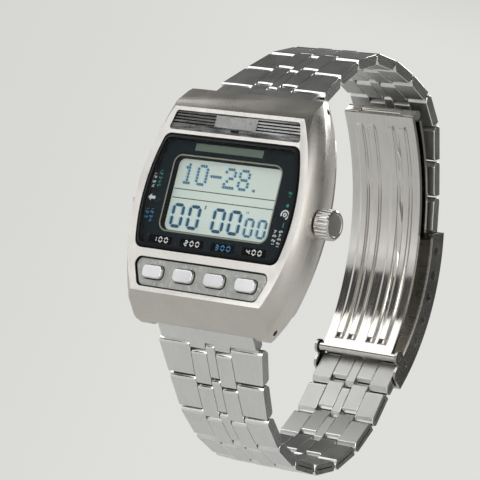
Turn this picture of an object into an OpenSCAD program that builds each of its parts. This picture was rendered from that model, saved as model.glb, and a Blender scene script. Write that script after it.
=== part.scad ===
// Digital wristwatch with an LCD, four front buttons, a crown, a five column link bracelet
// and a folding clasp. Millimetres. +X points to the crown, +Z to 12 o'clock, the dial faces -Y.
// The origin is the centre of the case back's flat outer face.

/* [Case] */
// Depth of the middle case without its back
case_depth = 8.8; // [8.4:0.1:10]
// Half the width of the middle case at its widest
case_half_w = 18.4; // [18:0.1:20]
// Radius of the bowed sides of the middle case
case_side_r = 49.7; // [46:0.1:60]
// Half the width of the flat front rim
rim_half_w = 17.4; // [17.2:0.1:17.8]
// Radius of the bowed sides of the front rim
rim_side_r = 36.8; // [36:0.1:42]
// How much narrower the case is at its back, on each side
flank_draw = 1.2; // [0.4:0.1:1.6]
// Half the height of the flat front face
face_half_h = 16.5; // [16.2:0.1:17]
// Distance from the case centre to the end of the sloping hood
hood_end_z = 20.8; // [20.4:0.1:21.5]
// Depth of the end of the sloping hood
hood_end_y = 4.0; // [3.6:0.1:4.3]
// Wall between the front face and the module space
front_wall = 2.0; // [1.8:0.1:2.2]
// Wall between the case side and the module space
side_wall = 3.2; // [3.1:0.1:3.6]
// Half the height of the module space
cavity_half_h = 14.8; // [14.6:0.1:15.2]
// Thickness of the case back
back_t = 1.0; // [0.8:0.1:1.4]
// Distance the case back is set in from the case side
back_inset = 0.3; // [0.2:0.1:0.5]
// Half the height of the case back
back_half_h = 16.6; // [16.4:0.1:16.8]
// Depth of the rim that snaps the case back into the case
spigot_h = 0.4; // [0.3:0.1:0.5]

/* [Lugs] */
// Distance from the case centre to each lug bar
lug_z = 19.4; // [19.2:0.1:20]
// Depth of the lug bars behind the front face
lug_y = 5.5; // [5.2:0.1:6]
// Radius of the rounded lug round its bar
lug_r = 1.75; // [1.6:0.05:1.9]
// Distance from the case centre to the back corner of each lug
lug_back_z = 18.0; // [17.6:0.1:18.4]
// Radius of the channel in which an end link turns
end_slot_r = 1.4; // [1.35:0.05:1.5]
// Half the gap between the lug ears
lug_gap_half = 11.0; // [10.8:0.1:11.4]
// Radius of the lug holes
lug_hole_r = 0.5; // [0.4:0.05:0.6]
// Radius of the tube of the lug bars
lug_bar_r = 0.75; // [0.6:0.05:0.85]
// Running clearance round bars and pins
pin_play = 0.05; // [0.03:0.01:0.1]

/* [Glass and dial] */
// Thickness of the glass
glass_t = 1.5; // [1.2:0.1:1.8]
// Height of the glass above the front rim
glass_proud = 0.3; // [0.1:0.1:0.5]
// Width of the bevel round the glass
glass_bevel = 0.45; // [0.2:0.05:0.6]
// Rim left between the glass gasket and the edge of the front face, at the sides
rim_w = 1.5; // [1.3:0.1:1.8]
// Upper edge of the glass above the case centre
glass_top = 11.3; // [11:0.1:11.4]
// Lower edge of the glass below the case centre
glass_bottom = 8.7; // [8.4:0.1:9]
// Corner radius of the glass
glass_corner = 1.6; // [1:0.1:2]
// Width of the gasket line round the glass
gasket_w = 0.35; // [0.25:0.05:0.4]
// Width of the ledge that carries the glass
ledge_w = 0.5; // [0.3:0.1:0.7]
// Thickness of the printed dial panel
dial_t = 0.4; // [0.3:0.1:0.5]
// Half the width of the display window
window_half_w = 11.4; // [11:0.1:11.8]
// Upper edge of the display window
window_top = 8.2; // [7.8:0.1:8.6]
// Lower edge of the display window
window_bottom = 5.6; // [5.2:0.1:6]
// Width of the frame line round the display window
window_frame_w = 0.5; // [0.4:0.1:0.7]
// Corner radius of the display window
window_corner = 1.7; // [1:0.1:2]
// Depth of the display glass below the front rim
lcd_y = 2.3; // [2.2:0.1:2.5]
// Thickness of the display glass
lcd_t = 1.4; // [1.2:0.1:1.6]

/* [Grille and button tray] */
// Upper edge of the grille plate
grille_top = 15.8; // [15.4:0.1:16]
// Lower edge of the grille plate
grille_bottom = 12.3; // [12.2:0.1:12.6]
// Corner radius of the grille plate
grille_corner = 0.5; // [0.2:0.1:0.8]
// Rim left beside the upper corners of the grille plate
grille_rim_w = 1.0; // [0.8:0.1:1.5]
// Depth of the recess for the grille plate
grille_depth = 0.9; // [0.7:0.1:1.1]
// Number of grooves on each side of the plain plaque
groove_count = 4; // [3:1:5]
// Width of each groove
groove_w = 0.28; // [0.2:0.02:0.34]
// Half the width of the plain plaque in the grille
plaque_half_w = 4.35; // [4:0.05:5]
// Upper edge of the button tray below the case centre
tray_top = 10.5; // [10.3:0.1:10.7]
// Height of the button tray
tray_h = 5.2; // [5:0.1:5.4]
// Drop from the upper edge of the tray to its pointed ends
tray_point_drop = 1.3; // [1:0.1:1.6]
// Corner radius of the button tray
tray_corner = 1.1; // [0.6:0.1:1.2]
// Depth of the button tray
tray_depth = 0.6; // [0.5:0.05:0.8]
// Thickness of the plate that lines the tray
tray_plate_t = 0.3; // [0.2:0.05:0.4]
// Distance between neighbouring buttons
button_pitch = 6.48; // [6:0.02:6.8]
// Width of a button
button_w = 4.3; // [3.6:0.1:4.8]
// Height of a button
button_h = 2.4; // [2:0.1:3]
// Corner radius of a button
button_corner = 0.85; // [0.4:0.05:0.95]
// Bevel round the face of a button
button_bevel = 0.2; // [0.1:0.05:0.3]
// Height of a button above the front rim
button_proud = 0.35; // [0.2:0.05:0.5]
// Travel of a button
button_travel = 0.4; // [0.3:0.05:0.5]
// Radius of a button stem
button_stem_r = 0.7; // [0.5:0.05:0.8]

/* [Crown and side pusher] */
// Depth of the crown axis behind the front face
crown_y = 4.9; // [4.7:0.1:5.1]
// Radius of the crown
crown_r = 2.65; // [2.3:0.05:2.9]
// Length of the crown
crown_len = 2.8; // [2.4:0.1:3.2]
// Gap between the crown and the case
crown_gap = 0.15; // [0.1:0.05:0.3]
// Number of flutes round the crown
flute_count = 26; // [18:1:30]
// Radius of a flute
flute_r = 0.24; // [0.18:0.02:0.28]
// Radius of the crown stem
stem_r = 0.5; // [0.4:0.05:0.6]
// Travel of the crown when it is pulled
crown_pull = 1.0; // [0.6:0.1:1.2]
// Radius of the side pusher
pusher_r = 1.3; // [1.1:0.05:1.5]
// Length of the side pusher outside the case
pusher_len = 2.2; // [1.8:0.1:2.6]
// Travel of the side pusher
pusher_travel = 0.8; // [0.5:0.1:1]

/* [Bracelet] */
// Distance between neighbouring link hinges
pitch = 6.8; // [6.6:0.05:7]
// Thickness of a link
link_t = 2.0; // [1.8:0.05:2]
// Radius of the nose round a link hinge
eye_r = 0.58; // [0.54:0.01:0.62]
// Gap between a nose and the link beside it
nose_gap = 0.12; // [0.1:0.01:0.16]
// Radius of the rolled upper edge of a row
roll_r = 0.7; // [0.5:0.05:0.75]
// Chamfer of the lower outer edge of a row
edge_r = 0.3; // [0.15:0.05:0.35]
// Radius of a link pin
link_pin_r = 0.36; // [0.3:0.02:0.4]
// Half the width of the bracelet where it leaves the case
strap_half_w = 10.9; // [10.7:0.1:11.2]
// Half the width of the bracelet at the clasp
strap_end_half_w = 8.2; // [8:0.1:9]
// Share of the taper that is left after each link
taper_left = 0.63; // [0.5:0.01:0.8]
// Outer edge of the two inner columns
inner_col = 4.3; // [4:0.1:4.6]
// Half the width of the centre column
centre_col = 0.95; // [0.8:0.05:1.2]
// Gap on each side of the line between two columns
col_gap = 0.06; // [0.05:0.01:0.08]
// Half the width of the end links between the lugs
end_link_half_w = 10.0; // [9.6:0.1:10.4]
// Distance from a lug bar to the edge of its end link
end_link_len = 4.0; // [3.8:0.1:4.4]
// Radius of the round edge of an end link about its lug bar
end_eye_r = 1.2; // [1.15:0.05:1.25]
// Slope of both end links away from the case, in degrees
lead_angle = 45; // [44:1:46]

/* [Clasp] */
// Radius from the cover's arc centre to the clasp pins
clasp_pin_arc = 36; // [35:0.5:38]
// Distance from the pin arc to the cover's outer face
cover_out = 2.1; // [2:0.05:2.4]
// Thickness of the cover plate
cover_t = 0.6; // [0.5:0.05:0.65]
// Height of the cover's side walls
cover_wall_h = 3.9; // [3.6:0.1:4.2]
// Thickness of the cover's side walls
cover_wall_t = 0.5; // [0.4:0.05:0.7]
// Gap between the cover's side walls and the bracelet
cover_gap = 0.3; // [0.2:0.05:0.5]
// Number of holes along the cover for the spring bar
size_holes = 6; // [4:1:6]
// Angle between neighbouring holes, in degrees
size_step = 7; // [6.5:0.1:7]
// Radius of the holes for the spring bar
size_hole_r = 0.85; // [0.8:0.05:0.9]
// Half the width of the folding blades
blade_half_w = 7.4; // [7:0.1:7.6]
// Thickness of the folding blades
blade_t = 0.7; // [0.6:0.05:0.8]
// Radius of the long blade's arc
blade_arc = 43.6; // [43:0.1:44]
// Gap between the two blades when they are folded
blade_gap = 1.3; // [1.2:0.1:1.5]
// Distance from the short blade's arc to the last bracelet pin
strap_stand = 2.16; // [2:0.02:2.4]
// Place of the fold hinge round the blades' arc, in degrees
fold_angle = 45; // [43:1:47]
// Radius of the blades' hinge eyes
blade_eye_r = 0.85; // [0.8:0.05:0.9]
// Distance from the pin arc in to the hinge of the cover
cover_hinge_in = 2.6; // [2.5:0.05:2.8]
// Angle from the lowest size hole to the hinge of the cover, in degrees
cover_hinge_turn = 1.5; // [1:0.25:2]
// How far the cover reaches past the lowest size hole, in degrees
cover_low_reach = 7.2; // [6.5:0.1:8]
// How far the cover reaches past the last bracelet pin, in degrees
cover_top_reach = 1.2; // [1:0.1:1.5]
// Height of the ridges on the long blade
ridge_h = 0.25; // [0.15:0.05:0.3]
// Width of a ridge
ridge_w = 1.1; // [0.8:0.1:1.4]
// Distance between neighbouring ridges
ridge_pitch = 2.6; // [2.2:0.1:2.6]
// Number of ridges on each side of the long blade
ridge_count = 2; // [1:1:2]

/* [Hidden] */
function row_name(side, i) = str("link_", side, "_", i < 10 ? "0" : "", i);

rows = 10;
round_fn = 64;
arc_fn = 180;
far = 200;

// Directions of the rows as the bracelet hangs closed, in degrees from +Y towards +Z at
// 12 o'clock, and from +Y towards -Z at 6 o'clock
drape_12 = [43, 40, 26, 6, -5, -12, -38, -64, -65, -72];
drape_6 = [51, 47, 31, 16, -2, -18, -38, -54, -69, -67];

// Small clearances
fit_gap = 0.05;
seat_gap = 0.02;
hold_gap = 0.02;

// Plane geometry, points are [y, z]
function along(a) = [cos(a), sin(a)];
function length_of(v) = sqrt(v[0] * v[0] + v[1] * v[1]);
function angle_to(from, to) = atan2(to[1] - from[1], to[0] - from[0]);
function fan(c, r, a0, a1, n) = [for (i = [0:n]) c + r * along(a0 + (a1 - a0) * i / n)];
function unit(v) = v / length_of(v);
// The corner at b between a and c, rounded by r in n steps
function corner(a, b, c, r, n) =
    let (u = unit(a - b), v = unit(c - b), half = acos(u * v) / 2)
    let (m = b + unit(u + v) * (r / sin(half)), t = r / tan(half))
    let (a0 = angle_to(m, b + u * t), turn = (angle_to(m, b + v * t) - a0 + 540) % 360 - 180)
    [for (k = [0:n]) m + r * along(a0 + turn * k / n)];
function rounded(line, r, n) = [for (i = [0:len(line) - 1])
    each corner(line[(i + len(line) - 1) % len(line)], line[i], line[(i + 1) % len(line)], r, n)];
// The centre that lies r_p from p and r_q from q, on the -Y side of the line from q up to p
function centre_of(p, r_p, q, r_q) =
    let (d = length_of(p - q), t = (p - q) / d)
    let (s = (d * d + r_q * r_q - r_p * r_p) / (2 * d), h = sqrt(r_q * r_q - s * s))
    q + s * t - h * [t[1], -t[0]];

// An outline in X and Z with bowed sides: side radius, offset of its centre, upper and
// lower edge, corner radius, steps along the side
function bowed(rs, off, top, low, r, n) =
    let (ct = [sqrt(pow(rs - r, 2) - pow(top - r, 2)) - off, top - r])
    let (cl = [sqrt(pow(rs - r, 2) - pow(low - r, 2)) - off, r - low])
    let (at = atan2(ct[1], ct[0] + off), al = atan2(cl[1], cl[0] + off))
    let (right = concat(fan(cl, r, -90, al, 5),
        [for (i = [1:n - 1]) [-off, 0] + rs * along(al + (at - al) * i / n)],
        fan(ct, r, at, 90, 5)))
    concat(right, [for (i = [len(right) - 1:-1:0]) [-right[i][0], right[i][1]]]);
function rim_line(inset, top, low, r) = bowed(rim_side_r - inset, rim_side_r - rim_half_w, top, low, r, 16);
function body_line(inset, top, low, r) = bowed(case_side_r - inset, case_side_r - case_half_w, top, low, r, 16);
function rim_x(z) = sqrt(rim_side_r * rim_side_r - z * z) - (rim_side_r - rim_half_w);
function round_box(w, top, low, r) = concat(
    fan([w - r, r - low], r, -90, 0, 6), fan([w - r, top - r], r, 0, 90, 6),
    fan([r - w, top - r], r, 90, 180, 6), fan([r - w, r - low], r, 180, 270, 6));

// Case
case_t = case_depth + back_t;
flank_y = 3.5;
slope_half = hood_end_z + 2;
cavity_inset = side_wall;
glass_inset = rim_w + gasket_w;
opening_inset = glass_inset + ledge_w;
seat_y = glass_t - glass_proud;
opening_top = glass_top - ledge_w;
opening_low = glass_bottom - ledge_w;
opening_corner = glass_corner - ledge_w / 2;
groove_in = 0.6;
gasket_t = 0.6;
gasket_depth = 0.5;

// Dial stack, distances behind the front rim
dial_y = seat_y + fit_gap;
dial_back = dial_y + dial_t;
window_back = lcd_y - seat_gap;
lcd_back = lcd_y + lcd_t;
lcd_lap = 0.6;
board_y = lcd_back + 0.7;
board_t = 0.6;
battery_y = board_y + board_t + 0.1;
battery_r = 5.8;
frame_back = case_depth - 0.7;
battery_t = frame_back - battery_y;
battery_x = -3;
battery_z = -3;
clamp_w = 4;
buzzer_r = cavity_half_h - 5.8;
buzzer_t = 0.26;
quartz_x = 3.6;
quartz_len = 6.4;
strip_w = 0.8;
lamp_r = 0.5;
lamp_len = 3;
lamp_z = 1.6;
lamp_at = [-window_half_w - lcd_lap - 2 * fit_gap - lamp_r, lcd_y + 1];

// Grille plate and its plaque, depths behind the front rim
grille_sunk = 0.12;
plaque_sunk = 0.02;

// Tray
tray_low = tray_top + tray_h;
tray_point = tray_top + tray_point_drop;
button_z = -(tray_top + tray_h / 2) + 0.07;
button_depth = tray_depth + fit_gap;
stem_end = front_wall + 1.2;

// Crown and pusher
crown_x = case_half_w + crown_gap;
seal_x = case_half_w - 1.6;
lever_x = case_half_w - side_wall - crown_pull - 0.4;
lever_t = 0.4;
neck_r = 0.32;
clip_x = case_half_w - 2.9;

// Bracelet
bar = [lug_y, lug_z];
lead_len = end_link_len + eye_r + nose_gap;
lead_end = bar + lead_len * along(lead_angle);
pin_wall = 0.5;
function hinge_at(drape, i) = i == 0 ? lead_end : hinge_at(drape, i - 1) + pitch * along(drape[i - 1]);
function half_at(i) = strap_end_half_w + (strap_half_w - strap_end_half_w) * pow(taper_left, i - 1);
top_pin = hinge_at(drape_12, rows);
low_pin_m = hinge_at(drape_6, rows);
low_pin = [low_pin_m[0], -low_pin_m[1]];

// Clasp
cover_c = centre_of(top_pin, clasp_pin_arc, low_pin, clasp_pin_arc);
low_a = angle_to(cover_c, low_pin);
cover_a0 = low_a - cover_low_reach;
cover_a1 = angle_to(cover_c, top_pin) + cover_top_reach;
cover_r1 = clasp_pin_arc + cover_out;
cover_r0 = cover_r1 - cover_t;
rim_r = cover_r1 - cover_wall_h;
cover_in = strap_end_half_w + cover_gap;
cover_half = cover_in + cover_wall_t;
hinge_pin = cover_c + (clasp_pin_arc - cover_hinge_in) * along(low_a - cover_hinge_turn);
blade_pin_r = 0.45;
cover_eye_r = 1.3;
short_arc = blade_arc + blade_t + blade_gap;
fold_arc = short_arc - 0.4;
blade_c = centre_of(top_pin, short_arc + strap_stand, hinge_pin, blade_arc + 0.5);
fold_pin = blade_c + fold_arc * along(fold_angle);
tip_r = 0.5;

// Puts a piece drawn behind the front rim into the part's own frame
module from_rim() translate([0, -case_t, 0]) children();
// A solid with its outline in X and Z, from depth y0 to depth y1
module slice(y0, y1) translate([0, y1, 0]) rotate([90, 0, 0]) linear_extrude(y1 - y0) children();
// A solid with its outline in Y and Z, from x0 to x1
module slab(x0, x1) translate([x0, 0, 0]) rotate([90, 0, 90]) linear_extrude(x1 - x0) children();
module both_sides(x0, x1) {
    slab(x0, x1) children();
    slab(-x1, -x0) children();
}
module rod_x(x0, x1, r) translate([x0, 0, 0]) rotate([0, 90, 0]) cylinder(h = x1 - x0, r = r, $fn = round_fn);
module rod_y(y0, y1, r) translate([0, y1, 0]) rotate([90, 0, 0]) cylinder(h = y1 - y0, r = r, $fn = round_fn);
module at_point(p) translate([0, p[0], p[1]]) children();
module side_6() mirror([0, 0, 1]) children();

// One outline of the case at a depth: share of the way from rim to full width, and draw
module case_line(y, share, draw) {
    half = rim_half_w + (case_half_w - rim_half_w) * share - draw;
    rs = rim_side_r + (case_side_r - rim_side_r) * share - draw;
    slice(y, y + 0.01) polygon(bowed(rs, rs - half, slope_half, slope_half, 0.5, 18));
}
function end_profile(m) = [for (p = concat([[0, face_half_h], [hood_end_y, hood_end_z]],
    fan(bar, lug_r, 100, 20, 8),
    [[case_depth - 0.6, lug_back_z], [case_depth, lug_back_z - 1.2]])) [p[0], m * p[1]]];
module end_slot() {
    slab(-lug_gap_half, lug_gap_half) translate(bar) circle(r = end_slot_r, $fn = round_fn);
    slab(-lug_gap_half, lug_gap_half)
        translate([bar[0], bar[1] - end_slot_r]) square([far, far]);
    slab(-lug_gap_half, lug_gap_half)
        translate([hood_end_y + 0.6, bar[1]]) square([far, far]);
}
module button_outline(grow) {
    w = button_w / 2 + grow;
    h = button_h / 2 + grow;
    translate([0, button_z]) polygon(round_box(w, h, h, button_corner + grow));
}
function tray_line(inset) = rounded([
    [rim_x(tray_top) - rim_w - 1.0 - inset, -tray_top - inset],
    [rim_x(tray_point) - rim_w - inset * 1.2, -tray_point],
    [rim_x(tray_low) - rim_w - inset, -tray_low + inset],
    [-rim_x(tray_low) + rim_w + inset, -tray_low + inset],
    [-rim_x(tray_point) + rim_w + inset * 1.2, -tray_point],
    [-rim_x(tray_top) + rim_w + 1.0 + inset, -tray_top - inset]], tray_corner - inset, 4);
function grille_line(inset) = rounded([
    [rim_x(grille_top) - grille_rim_w - inset, grille_top - inset],
    [-rim_x(grille_top) + grille_rim_w + inset, grille_top - inset],
    [-rim_x(grille_bottom) + rim_w + inset, grille_bottom + inset],
    [rim_x(grille_bottom) - rim_w - inset, grille_bottom + inset]], grille_corner - inset, 3);
function button_x(i) = (i - 2.5) * button_pitch;

module case_shell() {
    difference() {
        intersection() {
            hull() {
                case_line(0, 0, 0);
                case_line(1.2, 0.62, 0);
                case_line(flank_y, 1, 0);
                case_line(6, 1, flank_draw * 0.25);
                case_line(case_depth - 0.01, 1, flank_draw);
            }
            slab(-far / 2, far / 2)
                polygon(concat(end_profile(1), [for (i = [11 + 1:-1:0]) end_profile(-1)[i]]));
        }
        slice(-1, seat_y) polygon(rim_line(rim_w, glass_top + gasket_w, glass_bottom + gasket_w, glass_corner));
        slice(-1, front_wall + 1) polygon(rim_line(opening_inset, opening_top, opening_low, opening_corner));
        slice(front_wall, case_depth + 1)
            polygon(body_line(cavity_inset, cavity_half_h, cavity_half_h, 2));
        slice(-1, grille_depth) polygon(grille_line(0));
        slice(-1, tray_depth) polygon(tray_line(0));
        for (i = [1:4]) translate([button_x(i), 0, 0]) {
            slice(-1, button_depth + button_travel + fit_gap) button_outline(fit_gap);
            translate([0, 0, button_z]) rod_y(0, front_wall + 1, button_stem_r + fit_gap);
        }
        translate([0, crown_y, 0]) {
            rod_x(0, far, stem_r + pin_play);
            rod_x(seal_x, seal_x + 0.8, stem_r + 0.6);
            rod_x(-far, -case_half_w + 1.9, pusher_r + fit_gap);
            rod_x(-far, 0, stem_r + pin_play);
        }
        difference() {
            slice(case_depth - gasket_depth, case_depth + 1)
                polygon(body_line(cavity_inset - groove_in - gasket_t,
                    cavity_half_h + groove_in + gasket_t, cavity_half_h + groove_in + gasket_t, 2.4));
            slice(case_depth - gasket_depth - 1, case_depth + 2)
                polygon(body_line(cavity_inset - groove_in, cavity_half_h + groove_in,
                    cavity_half_h + groove_in, 2.2));
        }
        end_slot();
        side_6() end_slot();
        for (m = [-1, 1]) translate([0, lug_y, m * lug_z]) rod_x(-far / 2, far / 2, lug_hole_r);
    }
}
module case_body() color("silver") from_rim() case_shell();

module case_back() color("gainsboro") from_rim() {
    difference() {
        union() {
            slice(case_depth, case_t)
                polygon(body_line(flank_draw + back_inset, back_half_h, back_half_h, 2.6));
            slice(case_depth - spigot_h, case_depth)
                polygon(body_line(cavity_inset + fit_gap, cavity_half_h - fit_gap, cavity_half_h - fit_gap, 2));
        }
        slice(0, case_depth)
            polygon(body_line(cavity_inset + 1, cavity_half_h - 1, cavity_half_h - 1, 1.4));
    }
}
module back_gasket() color("dimgray") from_rim() difference() {
    slice(case_depth - gasket_depth + seat_gap, case_depth - seat_gap)
        polygon(body_line(cavity_inset - groove_in - gasket_t + fit_gap,
            cavity_half_h + groove_in + gasket_t - fit_gap, cavity_half_h + groove_in + gasket_t - fit_gap, 2.4));
    slice(0, case_t)
        polygon(body_line(cavity_inset - groove_in - fit_gap, cavity_half_h + groove_in + fit_gap,
            cavity_half_h + groove_in + fit_gap, 2.2));
}
module glass_line(inset) polygon(rim_line(glass_inset + inset, glass_top - inset, glass_bottom - inset,
    glass_corner - 0.2));
module crystal() color("lightsteelblue", 0.5) from_rim() hull() {
    slice(-glass_proud, -glass_proud + 0.01) glass_line(glass_bevel);
    slice(-glass_proud + glass_bevel / 2, seat_y - seat_gap) glass_line(fit_gap);
}
module crystal_gasket() color("black") from_rim() difference() {
    slice(0.05, seat_y - seat_gap)
        polygon(rim_line(rim_w + seat_gap, glass_top + gasket_w - seat_gap, glass_bottom + gasket_w - seat_gap,
            glass_corner));
    slice(-1, case_t) polygon(rim_line(glass_inset, glass_top, glass_bottom, glass_corner - 0.2));
}
module window_outline(inset) polygon(round_box(window_half_w - inset, window_top - inset,
    window_bottom - inset, window_corner - inset));
module dial_panel() color("darkslategray") from_rim() difference() {
    slice(dial_y, dial_back)
        polygon(rim_line(opening_inset + fit_gap, opening_top - fit_gap, opening_low - fit_gap, opening_corner));
    slice(0, case_t) window_outline(-fit_gap);
}
module window_frame() color("tan") from_rim() difference() {
    slice(dial_y, window_back) window_outline(0);
    slice(0, case_t) window_outline(window_frame_w);
}
module lcd_box(y0, y1, grow) slice(y0, y1)
    polygon(round_box(window_half_w + lcd_lap + grow, window_top + lcd_lap + grow,
        window_bottom + lcd_lap + grow, 0.3));
module lcd_panel() color("darkseagreen") from_rim() lcd_box(lcd_y, lcd_back, 0);
module lcd_reflector() color("honeydew") from_rim() slice(lcd_back + seat_gap, lcd_back + 0.15)
    polygon(round_box(window_half_w, window_top + lcd_lap - strip_w - 0.2,
        window_bottom + lcd_lap - strip_w - 0.2, 0.2));
module connector_strips() color("dimgray") from_rim() {
    for (z = [window_top + lcd_lap - strip_w - 0.05, -window_bottom - lcd_lap + 0.05])
        translate([-window_half_w, lcd_back + seat_gap, z])
            cube([2 * window_half_w, board_y - lcd_back - 2 * seat_gap, strip_w]);
}
module grille_plate() color("silver") from_rim() {
    step = (grille_top - grille_bottom) * 0.62 / groove_count;
    difference() {
        union() {
            slice(grille_sunk, grille_depth - seat_gap) polygon(grille_line(fit_gap));
            slice(plaque_sunk, grille_depth / 2) translate([-plaque_half_w, grille_bottom + 1.15])
                square([2 * plaque_half_w, grille_top - grille_bottom - 1.45]);
        }
        for (i = [1:groove_count])
            for (m = [-1, 1])
                translate([m > 0 ? plaque_half_w : -far, -1, grille_top - (i - 0.5) * step - groove_w / 2 - 0.25])
                    cube([far - plaque_half_w, 1.55, groove_w]);
        translate([-0.85, -1, grille_bottom + 0.45]) cube([1.7, 1.6, 0.5]);
    }
}
module button_tray() color("slategray") from_rim() difference() {
    slice(tray_depth - tray_plate_t, tray_depth - seat_gap) polygon(tray_line(fit_gap));
    for (i = [1:4]) translate([button_x(i), 0, 0]) slice(0, case_t) button_outline(fit_gap);
}
module button(i) color("gainsboro") from_rim() translate([button_x(i), 0, 0]) {
    hull() {
        slice(-button_proud, -button_proud + 0.01) button_outline(-button_bevel);
        slice(-button_proud + button_bevel, button_depth) button_outline(0);
    }
    translate([0, 0, button_z]) rod_y(button_depth - 0.1, stem_end, button_stem_r);
    translate([0, 0, button_z]) rod_y(stem_end - 0.3, stem_end, button_stem_r + 0.3);
}
module button_1() button(1);
module button_2() button(2);
module button_3() button(3);
module button_4() button(4);
module button_seals() color("dimgray") from_rim() for (i = [1:4])
    translate([button_x(i), 0, button_z]) difference() {
        rod_y(front_wall + seat_gap, front_wall + 0.5, button_stem_r + 0.35);
        rod_y(0, case_t, button_stem_r + hold_gap);
    }
module button_contacts() color("goldenrod") from_rim() for (i = [1:4])
    translate([button_x(i), 0, button_z])
        rod_y(stem_end + button_travel + fit_gap, board_y - seat_gap, button_stem_r + 0.3);

module crown() color("silver") from_rim() translate([crown_x, crown_y, 0]) rotate([0, 90, 0])
    difference() {
        rotate_extrude($fn = round_fn) polygon([[0, 0.3], [crown_r - 0.5, 0.3], [crown_r - 0.35, 0],
            [crown_r - 0.15, 0], [crown_r, 0.25], [crown_r, crown_len - 0.4],
            [crown_r - 0.37, crown_len], [crown_r - 0.7, crown_len],
            [crown_r - 0.8, crown_len - 0.1], [0, crown_len - 0.1]]);
        translate([0, 0, -1]) cylinder(h = 1 + crown_len / 2, r = stem_r + hold_gap, $fn = round_fn);
        for (i = [1:flute_count]) rotate([0, 0, i * 360 / flute_count]) translate([crown_r + 0.06, 0, -1])
            cylinder(h = crown_len + 2, r = flute_r, $fn = 24);
    }
module crown_stem() color("gray") from_rim() translate([0, crown_y, 0]) rotate([0, 90, 0])
    rotate_extrude($fn = round_fn) polygon([[0, lever_x - 1.1], [stem_r, lever_x - 1.1],
        [stem_r, lever_x - 0.4], [neck_r, lever_x - 0.4], [neck_r, lever_x + 0.4], [stem_r, lever_x + 0.4],
        [stem_r, crown_x + crown_len / 2 - fit_gap], [0, crown_x + crown_len / 2 - fit_gap]]);
module crown_seal() color("black") from_rim() translate([0, crown_y, 0]) difference() {
    rod_x(seal_x + 0.1, seal_x + 0.7, stem_r + 0.55);
    rod_x(0, far, stem_r + hold_gap);
}
module setting_lever() color("gray") from_rim() translate([0, crown_y, 0]) difference() {
    slab(lever_x - lever_t / 2, lever_x + lever_t / 2) translate([-1.1, -0.9]) square([2.2, 1.8]);
    rod_x(0, far, neck_r + pin_play);
    slab(0, far) translate([0, -neck_r - pin_play]) square([far, 2 * (neck_r + pin_play)]);
}
module side_pusher() color("silver") from_rim() translate([0, crown_y, 0]) rotate([0, -90, 0])
    rotate_extrude($fn = round_fn) polygon([[0, clip_x - 1.3], [stem_r, clip_x - 1.3],
        [stem_r, clip_x - 1.1], [stem_r + 0.5, clip_x - 1.1], [stem_r + 0.5, clip_x - 0.7],
        [stem_r, clip_x - 0.7], [stem_r, case_half_w - 1.9 + pusher_travel + fit_gap],
        [pusher_r, case_half_w - 1.9 + pusher_travel + fit_gap], [pusher_r, case_half_w + pusher_len - 0.25],
        [pusher_r - 0.25, case_half_w + pusher_len], [0, case_half_w + pusher_len]]);

module module_frame() color("darkkhaki") from_rim() difference() {
    union() {
        slice(front_wall + fit_gap, frame_back)
            polygon(body_line(cavity_inset + fit_gap, cavity_half_h - fit_gap, cavity_half_h - fit_gap, 2));
        slice(dial_back + seat_gap, front_wall + 1)
            polygon(rim_line(opening_inset + fit_gap, opening_top - fit_gap, opening_low - fit_gap,
                opening_corner));
    }
    slice(0, lcd_y + 1) window_outline(-fit_gap);
    lcd_box(lcd_y - seat_gap, board_y, fit_gap);
    slice(board_y - seat_gap, case_t)
        polygon(body_line(cavity_inset + 1.1, cavity_half_h - 1.1, cavity_half_h - 1.1, 1));
    for (i = [1:4]) translate([button_x(i), 0, button_z]) rod_y(0, case_t, button_stem_r + 0.4);
    translate([0, crown_y, 0]) {
        slab(lever_x - 1.2, far) translate([-1.4, -1.2]) square([far, 2.4]);
        slab(-far, -clip_x + 2.2) translate([-1.4, -1.2]) square([far, 2.4]);
    }
    translate([lamp_at[0], lamp_at[1], lamp_z - fit_gap])
        cylinder(h = lamp_len + 2 * fit_gap, r = lamp_r + fit_gap, $fn = round_fn);
}
module circuit_board() color("darkgreen") from_rim() difference() {
    slice(board_y, board_y + board_t)
        polygon(body_line(cavity_inset + 1.2, cavity_half_h - 1.2, cavity_half_h - 1.2, 1));
    translate([lever_x - 1.3, 0, -1.3]) cube([far, case_t, 2.6]);
    translate([-clip_x + 2.3 - far, 0, -1.3]) cube([far, case_t, 2.6]);
}
module quartz_can() color("silver") from_rim() translate([quartz_x, battery_y + 1, 7])
    rod_x(0, quartz_len, 1);
module lamp() color("lightyellow") from_rim() translate([lamp_at[0], lamp_at[1], lamp_z])
    cylinder(h = lamp_len, r = lamp_r, $fn = round_fn);
module battery() color("lightgray") from_rim() translate([battery_x, 0, battery_z]) {
    rod_y(battery_y, battery_y + battery_t - 0.6, battery_r);
    rod_y(battery_y, battery_y + battery_t, battery_r - 0.5);
}
module battery_clamp() color("gold") from_rim() difference() {
    translate([battery_x - clamp_w / 2, frame_back + seat_gap, -cavity_half_h + 0.4])
        cube([clamp_w, 0.2, 2 * cavity_half_h - 0.8]);
    translate([battery_x, 0, battery_r]) rod_y(0, case_t, 0.6);
}
module buzzer_disc() color("goldenrod") from_rim()
    rod_y(case_depth - seat_gap - buzzer_t, case_depth - seat_gap, buzzer_r);

module lug_bars() color("gold") from_rim() for (m = [-1, 1]) translate([0, lug_y, m * lug_z]) {
    rod_x(-lug_gap_half + fit_gap, lug_gap_half - fit_gap, lug_bar_r);
    rod_x(-lug_gap_half - 1.6, lug_gap_half + 1.6, lug_hole_r - fit_gap);
}

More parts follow.
